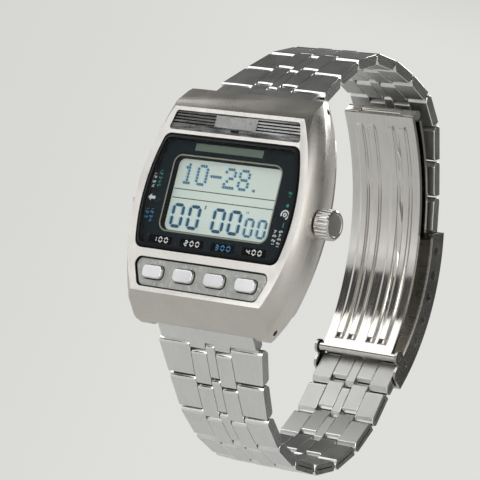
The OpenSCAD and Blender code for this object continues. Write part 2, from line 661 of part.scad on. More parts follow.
// Side outline of a column in its own frame: the start at nose n0, the end at n1
nose_v = 0.3;
half_t = link_t / 2;
cut = eye_r + nose_gap;
function column_line(n0, n1) =
    let (start = -n0 * eye_r + (1 - n0) * cut, end = pitch + n1 * eye_r - (1 - n1) * cut)
    concat([[start, -nose_v],
        [n0 * 0.25 + (1 - n0) * (cut + 0.4), -half_t],
        [pitch - n1 * 0.25 - (1 - n1) * (cut + 0.4), -half_t],
        [end, -nose_v],
        [end, half_t - edge_r],
        [end - edge_r, half_t]],
        fan([start + roll_r, half_t - roll_r], roll_r, 90, 180, 4));
// Plan of a row that narrows from half a to half b, its edges run on straight
module plan(a, b, u_end) translate([0, 0, -link_t]) linear_extrude(2 * link_t)
    polygon([[-a - (a - b) / 2, -pitch / 2], [a + (a - b) / 2, -pitch / 2],
        [b - (a - b), u_end + pitch], [-b + (a - b), u_end + pitch]]);
module nose_bore(r, half) rod_x(-half, half, r);
module link_body(a, b, slit) difference() {
    intersection() {
        union() {
            both_sides(inner_col + col_gap, a + 1) polygon(column_line(1, 0));
            slab(-centre_col + col_gap, centre_col - col_gap) polygon(column_line(1, 0));
            both_sides(centre_col + col_gap, inner_col - col_gap) polygon(column_line(0, 1));
            slab(-a - 1, a + 1) translate([1.3, -0.6]) square([pitch - 2.6, 1.2]);
        }
        plan(a, b, pitch);
    }
    nose_bore(link_pin_r + pin_play, a - pin_wall);
    translate([0, pitch, 0]) nose_bore(link_pin_r + hold_gap, inner_col);
    if (slit) for (m = [-1, 1]) translate([m * a, pitch / 2, 0]) cube([2, 4.2, 0.3], center = true);
}
module row(drape, i, pin_half, slit) color("silver") from_rim()
    at_point(hinge_at(drape, i - 1)) rotate([drape[i - 1], 0, 0]) {
        link_body(half_at(i), half_at(i + 1), slit);
        if (pin_half > 0) translate([0, pitch, 0]) rod_x(-pin_half, pin_half, link_pin_r);
    }
module row_12(i) row(drape_12, i, i < rows ? half_at(i + 1) - pin_wall - fit_gap
    : blade_half_w - pin_wall - fit_gap, false);
module row_6(i) side_6() row(drape_6, i, i < rows ? half_at(i + 1) - pin_wall - fit_gap : 0, i > 4);

// The end link: a round edge about the lug bar, and tongues that carry the first row
module end_link() color("silver") from_rim() at_point(bar) rotate([lead_angle, 0, 0]) {
    tongue_u = lead_len - pitch;
    difference() {
        union() {
            rod_x(-end_link_half_w, end_link_half_w, end_eye_r);
            slab(-end_link_half_w, end_link_half_w) polygon([[0, -half_t],
                [end_link_len - 0.4, -half_t], [end_link_len, -nose_v], [end_link_len, half_t - edge_r],
                [end_link_len - edge_r, half_t], [0, end_eye_r]]);
            both_sides(centre_col + col_gap, inner_col - col_gap)
                translate([tongue_u, 0]) difference() {
                    polygon(column_line(0, 1));
                    translate([-far, -far / 2]) square([far + pitch / 2, far]);
                }
        }
        nose_bore(lug_bar_r + pin_play, far);
        translate([0, lead_len, 0]) nose_bore(link_pin_r + hold_gap, inner_col);
    }
    translate([0, lead_len, 0])
        rod_x(-half_at(1) + pin_wall + fit_gap, half_at(1) - pin_wall - fit_gap, link_pin_r);
}
module end_link_12() end_link();
module end_link_6() side_6() end_link();

// Part of a ring about the origin of the Y and Z plane
module ring_part(r0, r1, a0, a1) intersection() {
    difference() {
        circle(r = r1, $fn = arc_fn);
        circle(r = r0, $fn = arc_fn);
    }
    polygon([[0, 0], far * along(a0), far * along((a0 + a1) / 2), far * along(a1)]);
}
blade_a1 = fold_angle;
blade_a0 = angle_to(blade_c, hinge_pin);
short_a0 = angle_to(blade_c, top_pin);
eye_side = 4.3;
module clasp_long_blade() color("gainsboro") from_rim() {
    difference() {
        union() {
            at_point(blade_c) slab(-blade_half_w, blade_half_w)
                ring_part(blade_arc - blade_t / 2, blade_arc + blade_t / 2, blade_a0, blade_a1 + 0.6);
            for (m = [-1, 1]) for (k = [1:ridge_count])
                translate([m * (k * ridge_pitch - ridge_w / 2), 0, 0]) at_point(blade_c)
                    slab(-ridge_w / 2, ridge_w / 2) ring_part(blade_arc - blade_t / 2 - ridge_h,
                        blade_arc, blade_a0 + 2.5, blade_a1 - 2.5);
            at_point(hinge_pin) rod_x(-cover_in + 0.2, cover_in - 0.2, blade_eye_r);
            both_sides(eye_side + 0.1, blade_half_w) {
                translate(fold_pin) circle(r = blade_eye_r, $fn = round_fn);
                translate(blade_c) ring_part(blade_arc, fold_arc, blade_a1 - 0.2, blade_a1 + 0.9);
            }
        }
        at_point(hinge_pin) nose_bore(blade_pin_r + pin_play, far);
        at_point(fold_pin) nose_bore(blade_pin_r + hold_gap, blade_half_w - 0.4);
    }
    at_point(fold_pin) rod_x(-blade_half_w + 0.45, blade_half_w - 0.45, blade_pin_r);
}
module clasp_short_blade() color("gainsboro") from_rim() {
    r0 = short_arc - blade_t / 2;
    r1 = short_arc + blade_t / 2;
    difference() {
        union() {
            at_point(blade_c) slab(-eye_side, eye_side) ring_part(r0, r1, short_a0 - 0.6, fold_angle);
            at_point(blade_c) slab(-blade_half_w, blade_half_w)
                ring_part(r0, r1, short_a0 - 0.6, fold_angle - 1.8);
            at_point(fold_pin) rod_x(-eye_side, eye_side, blade_eye_r);
            both_sides(inner_col + col_gap, blade_half_w) {
                translate(top_pin) circle(r = 0.62, $fn = round_fn);
                translate(blade_c) ring_part(r0, short_arc + strap_stand, short_a0 - 0.75, short_a0 + 0.05);
            }
            slab(-centre_col + col_gap, centre_col - col_gap) {
                translate(top_pin) circle(r = 0.62, $fn = round_fn);
                translate(blade_c) ring_part(r0, short_arc + strap_stand, short_a0 - 0.75, short_a0 + 0.05);
            }
        }
        at_point(fold_pin) nose_bore(blade_pin_r + pin_play, far);
        at_point(top_pin) nose_bore(link_pin_r + pin_play, blade_half_w - pin_wall);
    }
}
// Side outline of the cover, its rim corners rounded, about the cover's arc centre
function cover_line() =
    let (r = 1.2, t = r / rim_r * 180 / PI)
    concat([for (i = [0:40]) cover_r1 * along(cover_a0 + (cover_a1 - cover_a0) * i / 40)],
        [for (q = [0:15:90]) (rim_r + r * (1 - sin(q))) * along(cover_a1 - t * (1 - cos(q)))],
        [for (i = [1:39]) rim_r * along(cover_a1 - t + (cover_a0 - cover_a1 + 2 * t) * i / 40)],
        [for (q = [90:-15:0]) (rim_r + r * (1 - sin(q))) * along(cover_a0 + t * (1 - cos(q)))]);
module clasp_cover() color("silver") from_rim() {
    difference() {
        union() {
            at_point(cover_c) slab(-cover_half, cover_half) polygon(cover_line());
            at_point(hinge_pin) rod_x(-cover_half, cover_half, cover_eye_r);
        }
        at_point(cover_c) rotate([0, 90, 0])
            cylinder(h = 2 * cover_in, r = cover_r0, center = true, $fn = 2 * arc_fn);
        for (k = [0:size_holes - 1])
            at_point(cover_c + clasp_pin_arc * along(low_a + k * size_step)) nose_bore(size_hole_r, far);
        at_point(hinge_pin) nose_bore(blade_pin_r + hold_gap, far);
    }
    at_point(hinge_pin) rod_x(-cover_half, cover_half, blade_pin_r);
}
module clasp_spring_bar() color("gray") from_rim() at_point(low_pin) {
    rod_x(-cover_in + 0.1, cover_in - 0.1, link_pin_r);
    both_sides(inner_col + col_gap, cover_in - 0.15) circle(r = 0.6, $fn = round_fn);
    rod_x(-cover_half, cover_half, link_pin_r - 0.05);
}

case_body();
case_back();
back_gasket();
crystal();
crystal_gasket();
dial_panel();
window_frame();
lcd_panel();
lcd_reflector();
grille_plate();
button_tray();
button_1();
button_2();
button_3();
button_4();
button_seals();
button_contacts();
crown();
crown_stem();
crown_seal();
setting_lever();
side_pusher();
module_frame();
circuit_board();
connector_strips();
quartz_can();
lamp();
battery();
battery_clamp();
buzzer_disc();
lug_bars();
end_link_12();
end_link_6();
for (i = [1:rows]) {
    row_12(i);
    row_6(i);
}
clasp_short_blade();
clasp_long_blade();
clasp_cover();
clasp_spring_bar();
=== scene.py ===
"""Looks of the digital watch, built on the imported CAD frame. Metres, the part's own axes."""
import math

import bmesh
import bpy
from mathutils import Matrix, Vector


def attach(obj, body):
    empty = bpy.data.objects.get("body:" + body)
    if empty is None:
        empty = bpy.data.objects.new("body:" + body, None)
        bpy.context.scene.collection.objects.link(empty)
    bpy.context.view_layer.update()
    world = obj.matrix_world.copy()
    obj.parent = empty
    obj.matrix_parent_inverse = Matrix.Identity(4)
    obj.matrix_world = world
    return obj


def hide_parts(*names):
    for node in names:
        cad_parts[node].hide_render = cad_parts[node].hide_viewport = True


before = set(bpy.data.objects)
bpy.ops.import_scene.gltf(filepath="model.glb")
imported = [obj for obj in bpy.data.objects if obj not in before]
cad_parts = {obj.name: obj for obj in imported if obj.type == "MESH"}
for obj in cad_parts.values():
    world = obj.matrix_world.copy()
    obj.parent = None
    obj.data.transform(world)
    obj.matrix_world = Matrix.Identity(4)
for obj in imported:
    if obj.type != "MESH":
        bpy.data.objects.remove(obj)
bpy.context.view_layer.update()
scene = bpy.context.scene
scene.view_settings.view_transform = "Standard"

MM = 0.001
CASE_T = 9.8          # depth of the case in mm, front rim to case back
PRINT_T = 0.02        # thickness of printed marks in mm


def at(x, y, z):
    """A point in mm, y counted back from the front rim, in the part's frame."""
    return Vector((x, y - CASE_T, z)) * MM


# Camera at the photograph's angle

LENS = 200.65         # focal length in mm, on a sensor 36 mm wide
RIGHT = (0.814618, 0.530793, 0.233786)
UP = (-0.113452, -0.249467, 0.961715)
BACK = (0.568794, -0.809953, -0.143001)
PLACE = (0.26252, -0.37436, -0.06983)
cam_data = bpy.data.cameras.new("camera")
cam_data.sensor_width = 36
cam_data.lens = LENS
cam_data.clip_start = 0.01
cam_data.clip_end = 20
cam = bpy.data.objects.new("camera", cam_data)
scene.collection.objects.link(cam)
cam.matrix_world = Matrix([(RIGHT[i], UP[i], BACK[i], PLACE[i]) for i in range(3)] + [(0, 0, 0, 1)])
scene.camera = cam


# Materials

class Graph:
    """A small helper that adds and joins shader nodes."""

    def __init__(self, name):
        self.mat = bpy.data.materials.new(name)
        self.mat.use_nodes = True
        self.tree = self.mat.node_tree
        self.shader = self.tree.nodes["Principled BSDF"]
        self.out = self.tree.nodes["Material Output"]

    def add(self, kind, **values):
        node = self.tree.nodes.new("ShaderNode" + kind)
        for key, value in values.items():
            if hasattr(node, key):
                setattr(node, key, value)
            else:
                node.inputs[key.replace("_", " ")].default_value = value
        return node

    def join(self, a, b, out=0, into=0):
        """Joins a's output to b's input, and returns b."""
        self.tree.links.new(a.outputs[out], b.inputs[into])
        return b

    def place(self, scale, attribute=None):
        """Coordinates on the object, or of a stored grain attribute, stretched by scale."""
        if attribute:
            source = self.add("Attribute", attribute_name=attribute)
            out = "Vector"
        else:
            source = self.add("TexCoord")
            out = "Object"
        mapping = self.add("Mapping")
        mapping.inputs["Scale"].default_value = scale
        return self.join(source, mapping, out, "Vector")

    def noise(self, coords, detail, rough):
        node = self.add("TexNoise", Scale=1.0, Detail=detail, Roughness=rough)
        return self.join(coords, node, "Vector", "Vector")

    def span(self, node, low, high, out="Fac", a=0.3, b=0.7):
        """The node's value from a to b, spread from low to high."""
        rng = self.add("MapRange")
        rng.inputs["From Min"].default_value = a
        rng.inputs["From Max"].default_value = b
        rng.inputs["To Min"].default_value = low
        rng.inputs["To Max"].default_value = high
        return self.join(node, rng, out, "Value")

    def math(self, kind, a, b=None, value=None):
        node = self.add("Math", operation=kind)
        self.join(a, node, 0, 0)
        if b is not None:
            self.join(b, node, 0, 1)
        elif value is not None:
            node.inputs[1].default_value = value
        return node

    def blend(self, factor, low, high):
        """A colour between low and high by a factor."""
        mix = self.add("Mix", data_type="RGBA")
        self.tree.links.new(factor.outputs[0], mix.inputs["Factor"])
        mix.inputs["A"].default_value = (*low, 1)
        mix.inputs["B"].default_value = (*high, 1)
        return mix

    def bump(self, height, strength, distance):
        node = self.add("Bump", Strength=strength, Distance=distance)
        self.join(height, node, 0, "Height")
        self.join(node, self.shader, "Normal", "Normal")


SMUDGES = (160, 160, 160)        # scales of the noise, in cycles per metre
NICKS = (2600, 2600, 2600)
FINE_GRAIN = (9000, 9000, 300)
METAL_RELIEF = 0.00002           # heights of the bump, in metres
PAINT_RELIEF = 0.00003
PLATE_RELIEF = 0.00004


def tint(colour, k):
    """A colour k times as bright."""
    return tuple(min(1.0, c * k) for c in colour)


def steel(name, colour, rough, grain=FINE_GRAIN, wear=0.06, bump=0.1, smudge=0.05, pits=0.0,
          attribute=None):
    """Brushed or polished metal: grain lines, faint smudges and, with pits, fine nicks."""
    g = Graph(name)
    g.shader.inputs["Metallic"].default_value = 1.0
    lines = g.noise(g.place(grain, attribute), 4.0, 0.62)
    patches = g.noise(g.place(SMUDGES), 3.0, 0.55)
    tone = g.math("ADD", g.span(lines, -0.5, 0.5), g.span(patches, -0.35, 0.35))
    tone = g.math("ADD", tone, value=0.5)
    colours = g.blend(tone, tint(colour, 1 - wear), tint(colour, 1 + wear))
    g.join(colours, g.shader, "Result", "Base Color")
    roughness = g.math("ADD", g.span(lines, -0.06, 0.06), g.span(patches, -smudge, smudge))
    roughness = g.math("ADD", roughness, value=rough)
    height = g.span(lines, 0.0, 1.0)
    if pits:
        nick = g.span(g.noise(g.place(NICKS), 2.0, 0.5), 0.0, 1.0, a=0.66, b=0.74)
        roughness = g.math("ADD", roughness, g.math("MULTIPLY", nick, value=pits))
        height = g.math("ADD", height, g.math("MULTIPLY", nick, value=-0.6))
    g.join(roughness, g.shader, 0, "Roughness")
    g.bump(height, bump, METAL_RELIEF)
    return g.mat


def plain(name, colour, rough=0.5, vary=0.08, scale=900, bump=0.05, metallic=0.0, shine=0.5):
    """Paint, plastic or rubber with a fine mottled tone; shine is its specular level."""
    g = Graph(name)
    g.shader.inputs["Metallic"].default_value = metallic
    g.shader.inputs["Specular IOR Level"].default_value = shine
    fine = g.noise(g.place((scale, scale, scale)), 3.0, 0.6)
    colours = g.blend(g.span(fine, 0.0, 1.0), tint(colour, 1 - vary), tint(colour, 1 + vary))
    g.join(colours, g.shader, "Result", "Base Color")
    g.join(g.span(fine, rough - 0.06, rough + 0.06), g.shader, 0, "Roughness")
    g.bump(fine, bump, PAINT_RELIEF)
    return g.mat


def speckled(name):
    """The tray plate: matt grey metal with pale flecks and scratches."""
    g = Graph(name)
    g.shader.inputs["Metallic"].default_value = 0.4
    base = g.noise(g.place((700, 700, 700)), 5.0, 0.7)
    flecks = g.noise(g.place((2600, 2600, 1500)), 3.0, 0.6)
    worn = g.noise(g.place((330, 330, 330)), 2.0, 0.5)
    fleck = g.math("MULTIPLY", g.span(flecks, 0.0, 1.0, a=0.56, b=0.68),
                   g.span(worn, 0.1, 1.0, a=0.42, b=0.6))
    under = g.blend(g.span(base, 0.0, 1.0), (0.36, 0.37, 0.345), (0.53, 0.54, 0.51))
    top = g.add("Mix", data_type="RGBA")
    g.tree.links.new(fleck.outputs[0], top.inputs["Factor"])
    g.tree.links.new(under.outputs["Result"], top.inputs["A"])
    top.inputs["B"].default_value = (0.78, 0.78, 0.75, 1)
    g.join(top, g.shader, "Result", "Base Color")
    g.join(g.span(base, 0.42, 0.62), g.shader, 0, "Roughness")
    g.bump(base, 0.25, PLATE_RELIEF)
    return g.mat


def clear_glass(name):
    """Mineral glass. Shadow rays pass, so that the dial is lit."""
    g = Graph(name)
    g.shader.inputs["Base Color"].default_value = (0.97, 0.985, 0.99, 1)
    g.shader.inputs["Transmission Weight"].default_value = 1.0
    g.shader.inputs["IOR"].default_value = 1.5
    dust = g.noise(g.place((420, 420, 420)), 4.0, 0.6)
    g.join(g.span(dust, 0.0, 0.035), g.shader, 0, "Roughness")
    passing = g.add("BsdfTransparent")
    path = g.add("LightPath")
    mix = g.add("MixShader")
    g.join(path, mix, "Is Shadow Ray", 0)
    g.join(g.shader, mix, 0, 1)
    g.join(passing, mix, 0, 2)
    g.join(mix, g.out, 0, "Surface")
    return g.mat

def lcd_glass(name):
    """The display's pale reflector seen through its glass, with painted shade darkening it towards its upper
    left, under the window's wall.
    """
    g = Graph(name)
    coords = g.place((1000, 1000, 1000))
    split = g.add("SeparateXYZ")
    g.join(coords, split, "Vector", "Vector")
    across = g.span(split, 0.0, 1.0, "X", a=-11.0, b=11.0)
    up = g.span(split, 0.0, 1.0, "Z", a=8.0, b=-5.5)
    # Painted shade: the tone falls towards the upper left, where the window's wall shades the display.
    fall = g.math("MULTIPLY", g.math("ADD", across, up), value=0.5)
    grain = g.noise(g.place((5200, 5200, 5200)), 2.0, 0.5)
    tone = g.math("ADD", fall, g.span(grain, -0.1, 0.1))
    colours = g.blend(tone, (0.71, 0.80, 0.72), (0.81, 0.89, 0.82))
    g.join(colours, g.shader, "Result", "Base Color")
    g.shader.inputs["Roughness"].default_value = 0.55
    g.shader.inputs["Coat Weight"].default_value = 0.3
    g.shader.inputs["Coat Roughness"].default_value = 0.15
    return g.mat


# Colour, roughness, grain, wear, bump, smudge, pits and the attribute that the grain follows
METALS = {
    "case_steel": ((0.70, 0.67, 0.62), 0.33, (5200, 5200, 260), 0.06, 0.09, 0.04),
    # The flat front rim: a finer satin of the case steel, painted lighter as lit.
    "rim_steel_painted_lit": ((0.93, 0.905, 0.865), 0.46, (5200, 5200, 400), 0.04, 0.10, 0.04, 0.15),
    "plaque_steel": ((0.54, 0.545, 0.53), 0.36, (2400, 2400, 2400), 0.10, 0.12),
    "bright_edge": ((0.80, 0.79, 0.76), 0.18, (3000, 3000, 3000), 0.04, 0.04, 0.04),
    "link_edge": ((0.92, 0.92, 0.91), 0.15, (5000, 300, 5000), 0.04, 0.05, 0.04, 0.0, "grain"),
    "link_steel": ((0.82, 0.83, 0.81), 0.32, (300, 7000, 7000), 0.05, 0.09, 0.04, 0.1, "grain"),
    # The links' sides: the same steel made darker as painted shade.
    "link_side_painted_shade": ((0.50, 0.50, 0.49), 0.28, (300, 5000, 5000), 0.05, 0.03, 0.04, 0.0, "grain"),
    "link_back": ((0.50, 0.50, 0.485), 0.42, (300, 5000, 5000), 0.06, 0.08, 0.05, 0.0, "grain"),
    "control_steel": ((0.72, 0.71, 0.69), 0.22, (2000, 2000, 2000), 0.05, 0.06, 0.04),
    "button_steel": ((0.88, 0.88, 0.90), 0.50, (5200, 5200, 500), 0.03, 0.10),
    "grille_steel": ((0.31, 0.315, 0.31), 0.26, (300, 5200, 5200), 0.25, 0.15, 0.06, 0.3),
    "cover_steel": ((0.60, 0.58, 0.54), 0.30, (260, 4200, 4200), 0.10, 0.15, 0.06, 0.2),
    # The cover's side walls: the same steel made darker as painted shade.
    "cover_side_painted_shade": ((0.28, 0.275, 0.265), 0.28, (260, 4200, 4200), 0.10, 0.15, 0.06, 0.2),
    "crown_face": ((0.56, 0.53, 0.48), 0.36, (2600, 2600, 2600), 0.06, 0.08),
    "blade_steel": ((0.74, 0.72, 0.68), 0.11, (3000, 300, 300), 0.05, 0.02, 0.02),
    "bar_steel": ((0.55, 0.54, 0.52), 0.25, (300, 4000, 4000), 0.05, 0.05),
    "inner_steel": ((0.6, 0.6, 0.6), 0.3),
    "gilt_tube": ((0.72, 0.52, 0.24), 0.25, (300, 4000, 4000), 0.08, 0.05),
    "brass_parts": ((0.75, 0.58, 0.30), 0.25),
}
# Colour, roughness, variation of the tone, its scale, bump, metallic share and shine
PAINTS = {
    "glass_edge": ((0.010, 0.012, 0.014), 0.45, 0.1, 900, 0.0, 0.0, 0.15),
    "black_seal": ((0.006, 0.006, 0.007), 0.6, 0.2, 900, 0.0, 0.0, 0.1),
    "dial_print": ((0.010, 0.017, 0.021), 0.45, 0.15, 2200, 0.05, 0.0, 0.1),
    "dial_black": ((0.002, 0.002, 0.003), 0.35, 0.2, 2200, 0.03, 0.0, 0.05),
    "window_paint": ((0.30, 0.31, 0.25), 0.45, 0.1, 1500, 0.04, 0.3),
    # Near black on the window's inner slope, painted as the shade in the recess.
    "window_wall_painted_shade": ((0.008, 0.010, 0.011), 0.6, 0.2, 1500, 0.04, 0.0, 0.15),
    "olive_plate": ((0.145, 0.195, 0.15), 0.45, 0.06, 1800, 0.04, 0.2),
    "print_white": ((0.80, 0.81, 0.80), 0.5, 0.03),
    "print_green": ((0.03, 0.26, 0.23), 0.5, 0.05),
    "print_blue": ((0.05, 0.24, 0.48), 0.5, 0.05),
    "lcd_dark": ((0.025, 0.085, 0.145), 0.5, 0.10, 2500, 0.02),
    "lcd_mid": ((0.075, 0.17, 0.22), 0.5, 0.08, 2500, 0.02),
    "lcd_line": ((0.05, 0.075, 0.06), 0.5, 0.08, 2500, 0.02),
    # Bluish copies of the display's marks, painted as their shadows on the reflector.
    "lcd_painted_shadow": ((0.45, 0.68, 0.76), 0.55, 0.04, 2500, 0.02),
    "white_film": ((0.8, 0.83, 0.8), 0.5),
    "module_plastic": ((0.05, 0.05, 0.05), 0.5),
    "board": ((0.03, 0.16, 0.07), 0.4),
    "lamp_glass": ((0.85, 0.8, 0.6), 0.2),
    # Near black, painted as the shade in recesses, grooves and gaps.
    "painted_shade_black": ((0.012, 0.011, 0.010), 0.6),
}
MATERIALS = {name: steel(name, *look) for name, look in METALS.items()}
MATERIALS.update({name: plain(name, *look) for name, look in PAINTS.items()})
MATERIALS["tray_steel"] = speckled("tray_steel")
MATERIALS["glass"] = clear_glass("glass")
MATERIALS["lcd_glass"] = lcd_glass("lcd_glass")


# Mesh helpers

def finish_piece(name, mesh, body, materials, nodes=()):
    """Makes a mesh a piece with its materials, on its body, in place of the nodes that it stands for."""
    obj = bpy.data.objects.new(name, mesh)
    scene.collection.objects.link(obj)
    for m in materials:
        mesh.materials.append(MATERIALS[m])
    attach(obj, body)
    if nodes:
        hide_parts(*nodes)
    return obj


def smooth(mesh, degrees):
    for p in mesh.polygons:
        p.use_smooth = True
    mesh.set_sharp_from_angle(angle=math.radians(degrees))


def edge_roll(obj, width, segments=2, degrees=30, material=-1):
    """A small rounded edge with flat faces kept flat; material picks the edge's own slot."""
    mod = obj.modifiers.new("edge_roll", "BEVEL")
    mod.width = width * MM
    mod.segments = segments
    mod.limit_method = "ANGLE"
    mod.angle_limit = math.radians(degrees)
    mod.harden_normals = True
    mod.use_clamp_overlap = True
    mod.material = material


WELD = 0.002          # points nearer than this many mm become one
FLAT = 0.6            # faces within this many degrees become one


def dress(node, body, material, width=0.12, segments=2, degrees=30, split=None, edge=-1):
    """A copy of a CAD node with clean faces and rounded edges. split holds more materials, and
    the function that picks one by a face's normal and its centre, in mm behind the front rim.
    edge is the number of the rounded edges' own material."""
    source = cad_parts[node]
    bm = bmesh.new()
    bm.from_mesh(source.data)
    bmesh.ops.remove_doubles(bm, verts=bm.verts, dist=WELD * MM)
    bmesh.ops.dissolve_limit(bm, angle_limit=math.radians(FLAT), verts=bm.verts, edges=bm.edges)
    mesh = bpy.data.meshes.new(node + "_dressed")
    materials = [material]
    if split:
        materials += split[0]
        for f in bm.faces:
            centre = f.calc_center_median() / MM
            f.material_index = split[1](f.normal, Vector((centre.x, centre.y + CASE_T, centre.z)))
    bm.to_mesh(mesh)
    bm.free()
    smooth(mesh, degrees)
    obj = finish_piece(node + "_dressed", mesh, body, materials, (node,))
    if width:
        edge_roll(obj, width, segments, degrees, edge)
    return obj


def repaint(node, material):
    """Gives a CAD node that stays a better material."""
    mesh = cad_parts[node].data
    mesh.materials.clear()
    mesh.materials.append(MATERIALS[material])


def fillet(points, radii, steps=4):
    """The closed outline with each corner rounded by its radius."""
    done = []
    n = len(points)
    for i, (p, r) in enumerate(zip(points, radii)):
        a, b, c = Vector(points[i - 1]), Vector(p), Vector(points[(i + 1) % n])
        u, v = (a - b), (c - b)
        if r <= 0:
            done.append(b)
            continue
        half = u.angle(v) / 2
        reach = min(r / math.tan(half), u.length * 0.48, v.length * 0.48)
        radius = reach * math.tan(half)
        centre = b + (u.normalized() + v.normalized()).normalized() * (radius / math.sin(half))
        start, end = b + u.normalized() * reach - centre, b + v.normalized() * reach - centre
        turn = math.atan2(start.x * end.y - start.y * end.x, start.dot(end))
        for k in range(steps + 1):
            t = turn * k / steps
            done.append(centre + Vector((start.x * math.cos(t) - start.y * math.sin(t),
                                         start.x * math.sin(t) + start.y * math.cos(t))))
    return done


def prism(bm, low, high, material=0, end_material=None):
    """Joins two outlines of the same length into a solid. Returns its end faces and its walls."""
    a = [bm.verts.new(p) for p in low]
    b = [bm.verts.new(p) for p in high]
    ends = [bm.faces.new(a), bm.faces.new(list(reversed(b)))]
    n = len(a)
    walls = [bm.faces.new((a[i], b[i], b[(i + 1) % n], a[(i + 1) % n])) for i in range(n)]
    for f in walls:
        f.material_index = material
    for f in ends:
        f.material_index = material if end_material is None else end_material
    bmesh.ops.recalc_face_normals(bm, faces=ends + walls)
    return ends, walls


def round_box(x0, x1, z0, z1, r, steps=4):
    """The outline of a box with rounded corners."""
    return fillet([(x0, z0), (x1, z0), (x1, z1), (x0, z1)], [r] * 4, steps)


def plates(name, shapes, y_back, y_front, body, material):
    """Flat printed shapes, outlines in x and z, between two depths behind the rim."""
    bm = bmesh.new()
    for outline in shapes:
        prism(bm, [at(p[0], y_back, p[1]) for p in outline], [at(p[0], y_front, p[1]) for p in outline])
    mesh = bpy.data.meshes.new(name)
    bm.to_mesh(mesh)
    bm.free()
    return finish_piece(name, mesh, body, [material])


# Case and controls

FACING = 0.97         # a face whose normal has this much of a direction counts as facing it
RIM_ARC = 36.8        # radius of the front rim's bowed sides, and how far its centre lies past x = 0
RIM_ARC_X = 19.4
RIM_W = 0.9           # width of the flat rim at the sides
RECESS_FROM, RECESS_TO, RECESS_Z = 0.1, 1.6, 16.0    # depths and height that the recesses reach
GROOVE = 0.4          # floors deeper than this lie in the grille's grooves
PLAQUE_HALF = 4.36
COVER_IN = 7          # side walls of the clasp's cover lie further out than this


def rim_x(z):
    """Half the width of the flat front rim at a height."""
    return math.sqrt(RIM_ARC ** 2 - z * z) - RIM_ARC_X


def case_face(normal, centre):
    """0 flank and hoods, 1 flat front rim, a finer satin painted lighter as lit, 2 floors and walls of the
    recesses, painted near black as shade.
    """
    if normal.y < -FACING and centre.y < 0.05:
        return 1
    in_depth = RECESS_FROM < centre.y < RECESS_TO
    in_outline = abs(centre.z) < RECESS_Z and abs(centre.x) < rim_x(centre.z) - RIM_W
    return 2 if in_depth and in_outline else 0


def grille_face(normal, centre):
    """0 dark plate, 2 plaque, 3 floors of the grooves and the slot, painted near black as shade. The rounded
    edges take 1.
    """
    if centre.y > GROOVE and normal.y < -0.5:
        return 3
    return 2 if centre.y < 0.06 and abs(centre.x) < PLAQUE_HALF else 0


def button_face(normal, centre):
    """0 sides, 1 the face that is pressed."""
    return 1 if normal.y < -0.9 else 0


def crown_face(normal, centre):
    """0 knurled side, 1 outer face."""
    return 1 if normal.x > 0.95 else 0


def crystal_face(normal, centre):
    """0 the glass's two flat faces, 1 its bevel and sides."""
    return 0 if abs(normal.y) > FACING else 1


def cover_face(normal, centre):
    """0 top and inside of the clasp's cover, 1 its side walls, a darker copy of its steel painted as shade.
    The rounded edges take 2.
    """
    return 1 if abs(normal.x) > 0.9 and abs(centre.x) > COVER_IN else 0


dress("case_body", "case", "case_steel", 0.14, 2, 28, (["rim_steel_painted_lit", "painted_shade_black"], case_face))
dress("case_back", "case", "case_steel", 0.10, 2, 28)
dress("crystal", "case", "glass", 0.0, 2, 25, (["glass_edge"], crystal_face))
dress("crystal_gasket", "case", "black_seal", 0.0)
dress("dial_panel", "case", "dial_print", 0.04)
dress("lcd_panel", "case", "lcd_glass", 0.0)
dress("grille_plate", "case", "grille_steel", 0.045, 2, 30,
      (["bright_edge", "plaque_steel", "painted_shade_black"], grille_face), 1)
for i in range(1, 5):
    dress(f"button_{i}", f"button_{i}_body", "control_steel", 0.09, 3, 30,
          (["button_steel"], button_face))
dress("crown", "crown_body", "control_steel", 0.05, 2, 30, (["crown_face"], crown_face))
dress("side_pusher", "side_pusher_body", "control_steel", 0.08)
REPAINTED = {
    "back_gasket": "black_seal", "lcd_reflector": "white_film", "button_seals": "black_seal",
    "button_contacts": "brass_parts", "crown_stem": "inner_steel", "crown_seal": "black_seal",
    "setting_lever": "inner_steel", "module_frame": "module_plastic", "circuit_board": "board",
    "connector_strips": "black_seal", "quartz_can": "inner_steel", "lamp": "lamp_glass",
    "battery": "inner_steel", "battery_clamp": "brass_parts", "buzzer_disc": "brass_parts",
    "lug_bars": "gilt_tube", "clasp_spring_bar": "bar_steel"}
for node, material in REPAINTED.items():
    repaint(node, material)


# Tray plate

TRAY_FRONT = 0.30     # depth of the tray plate's face
TRAY_BACK = 0.57      # depth of its back
TRAY_TOP, TRAY_POINT, TRAY_LOW = -10.5, -11.8, -15.7    # heights of its corners
TRAY_IN_TOP = 2.5     # how far its upper corners lie inside the rim's outline, and the others
TRAY_IN = 1.5
TRAY_GAP = 0.26       # gap round the plate, dark where the recess's walls are painted near black as shade
TRAY_ROUND = 1.2      # its corners
BUTTON_Z = -13.03
BUTTON_X = [(i - 2.5) * 6.48 for i in range(1, 5)]
WELL_HALF_X, WELL_HALF_Z = 2.27, 1.32    # half the size of the hole for a button
WELL_ROUND = 0.95


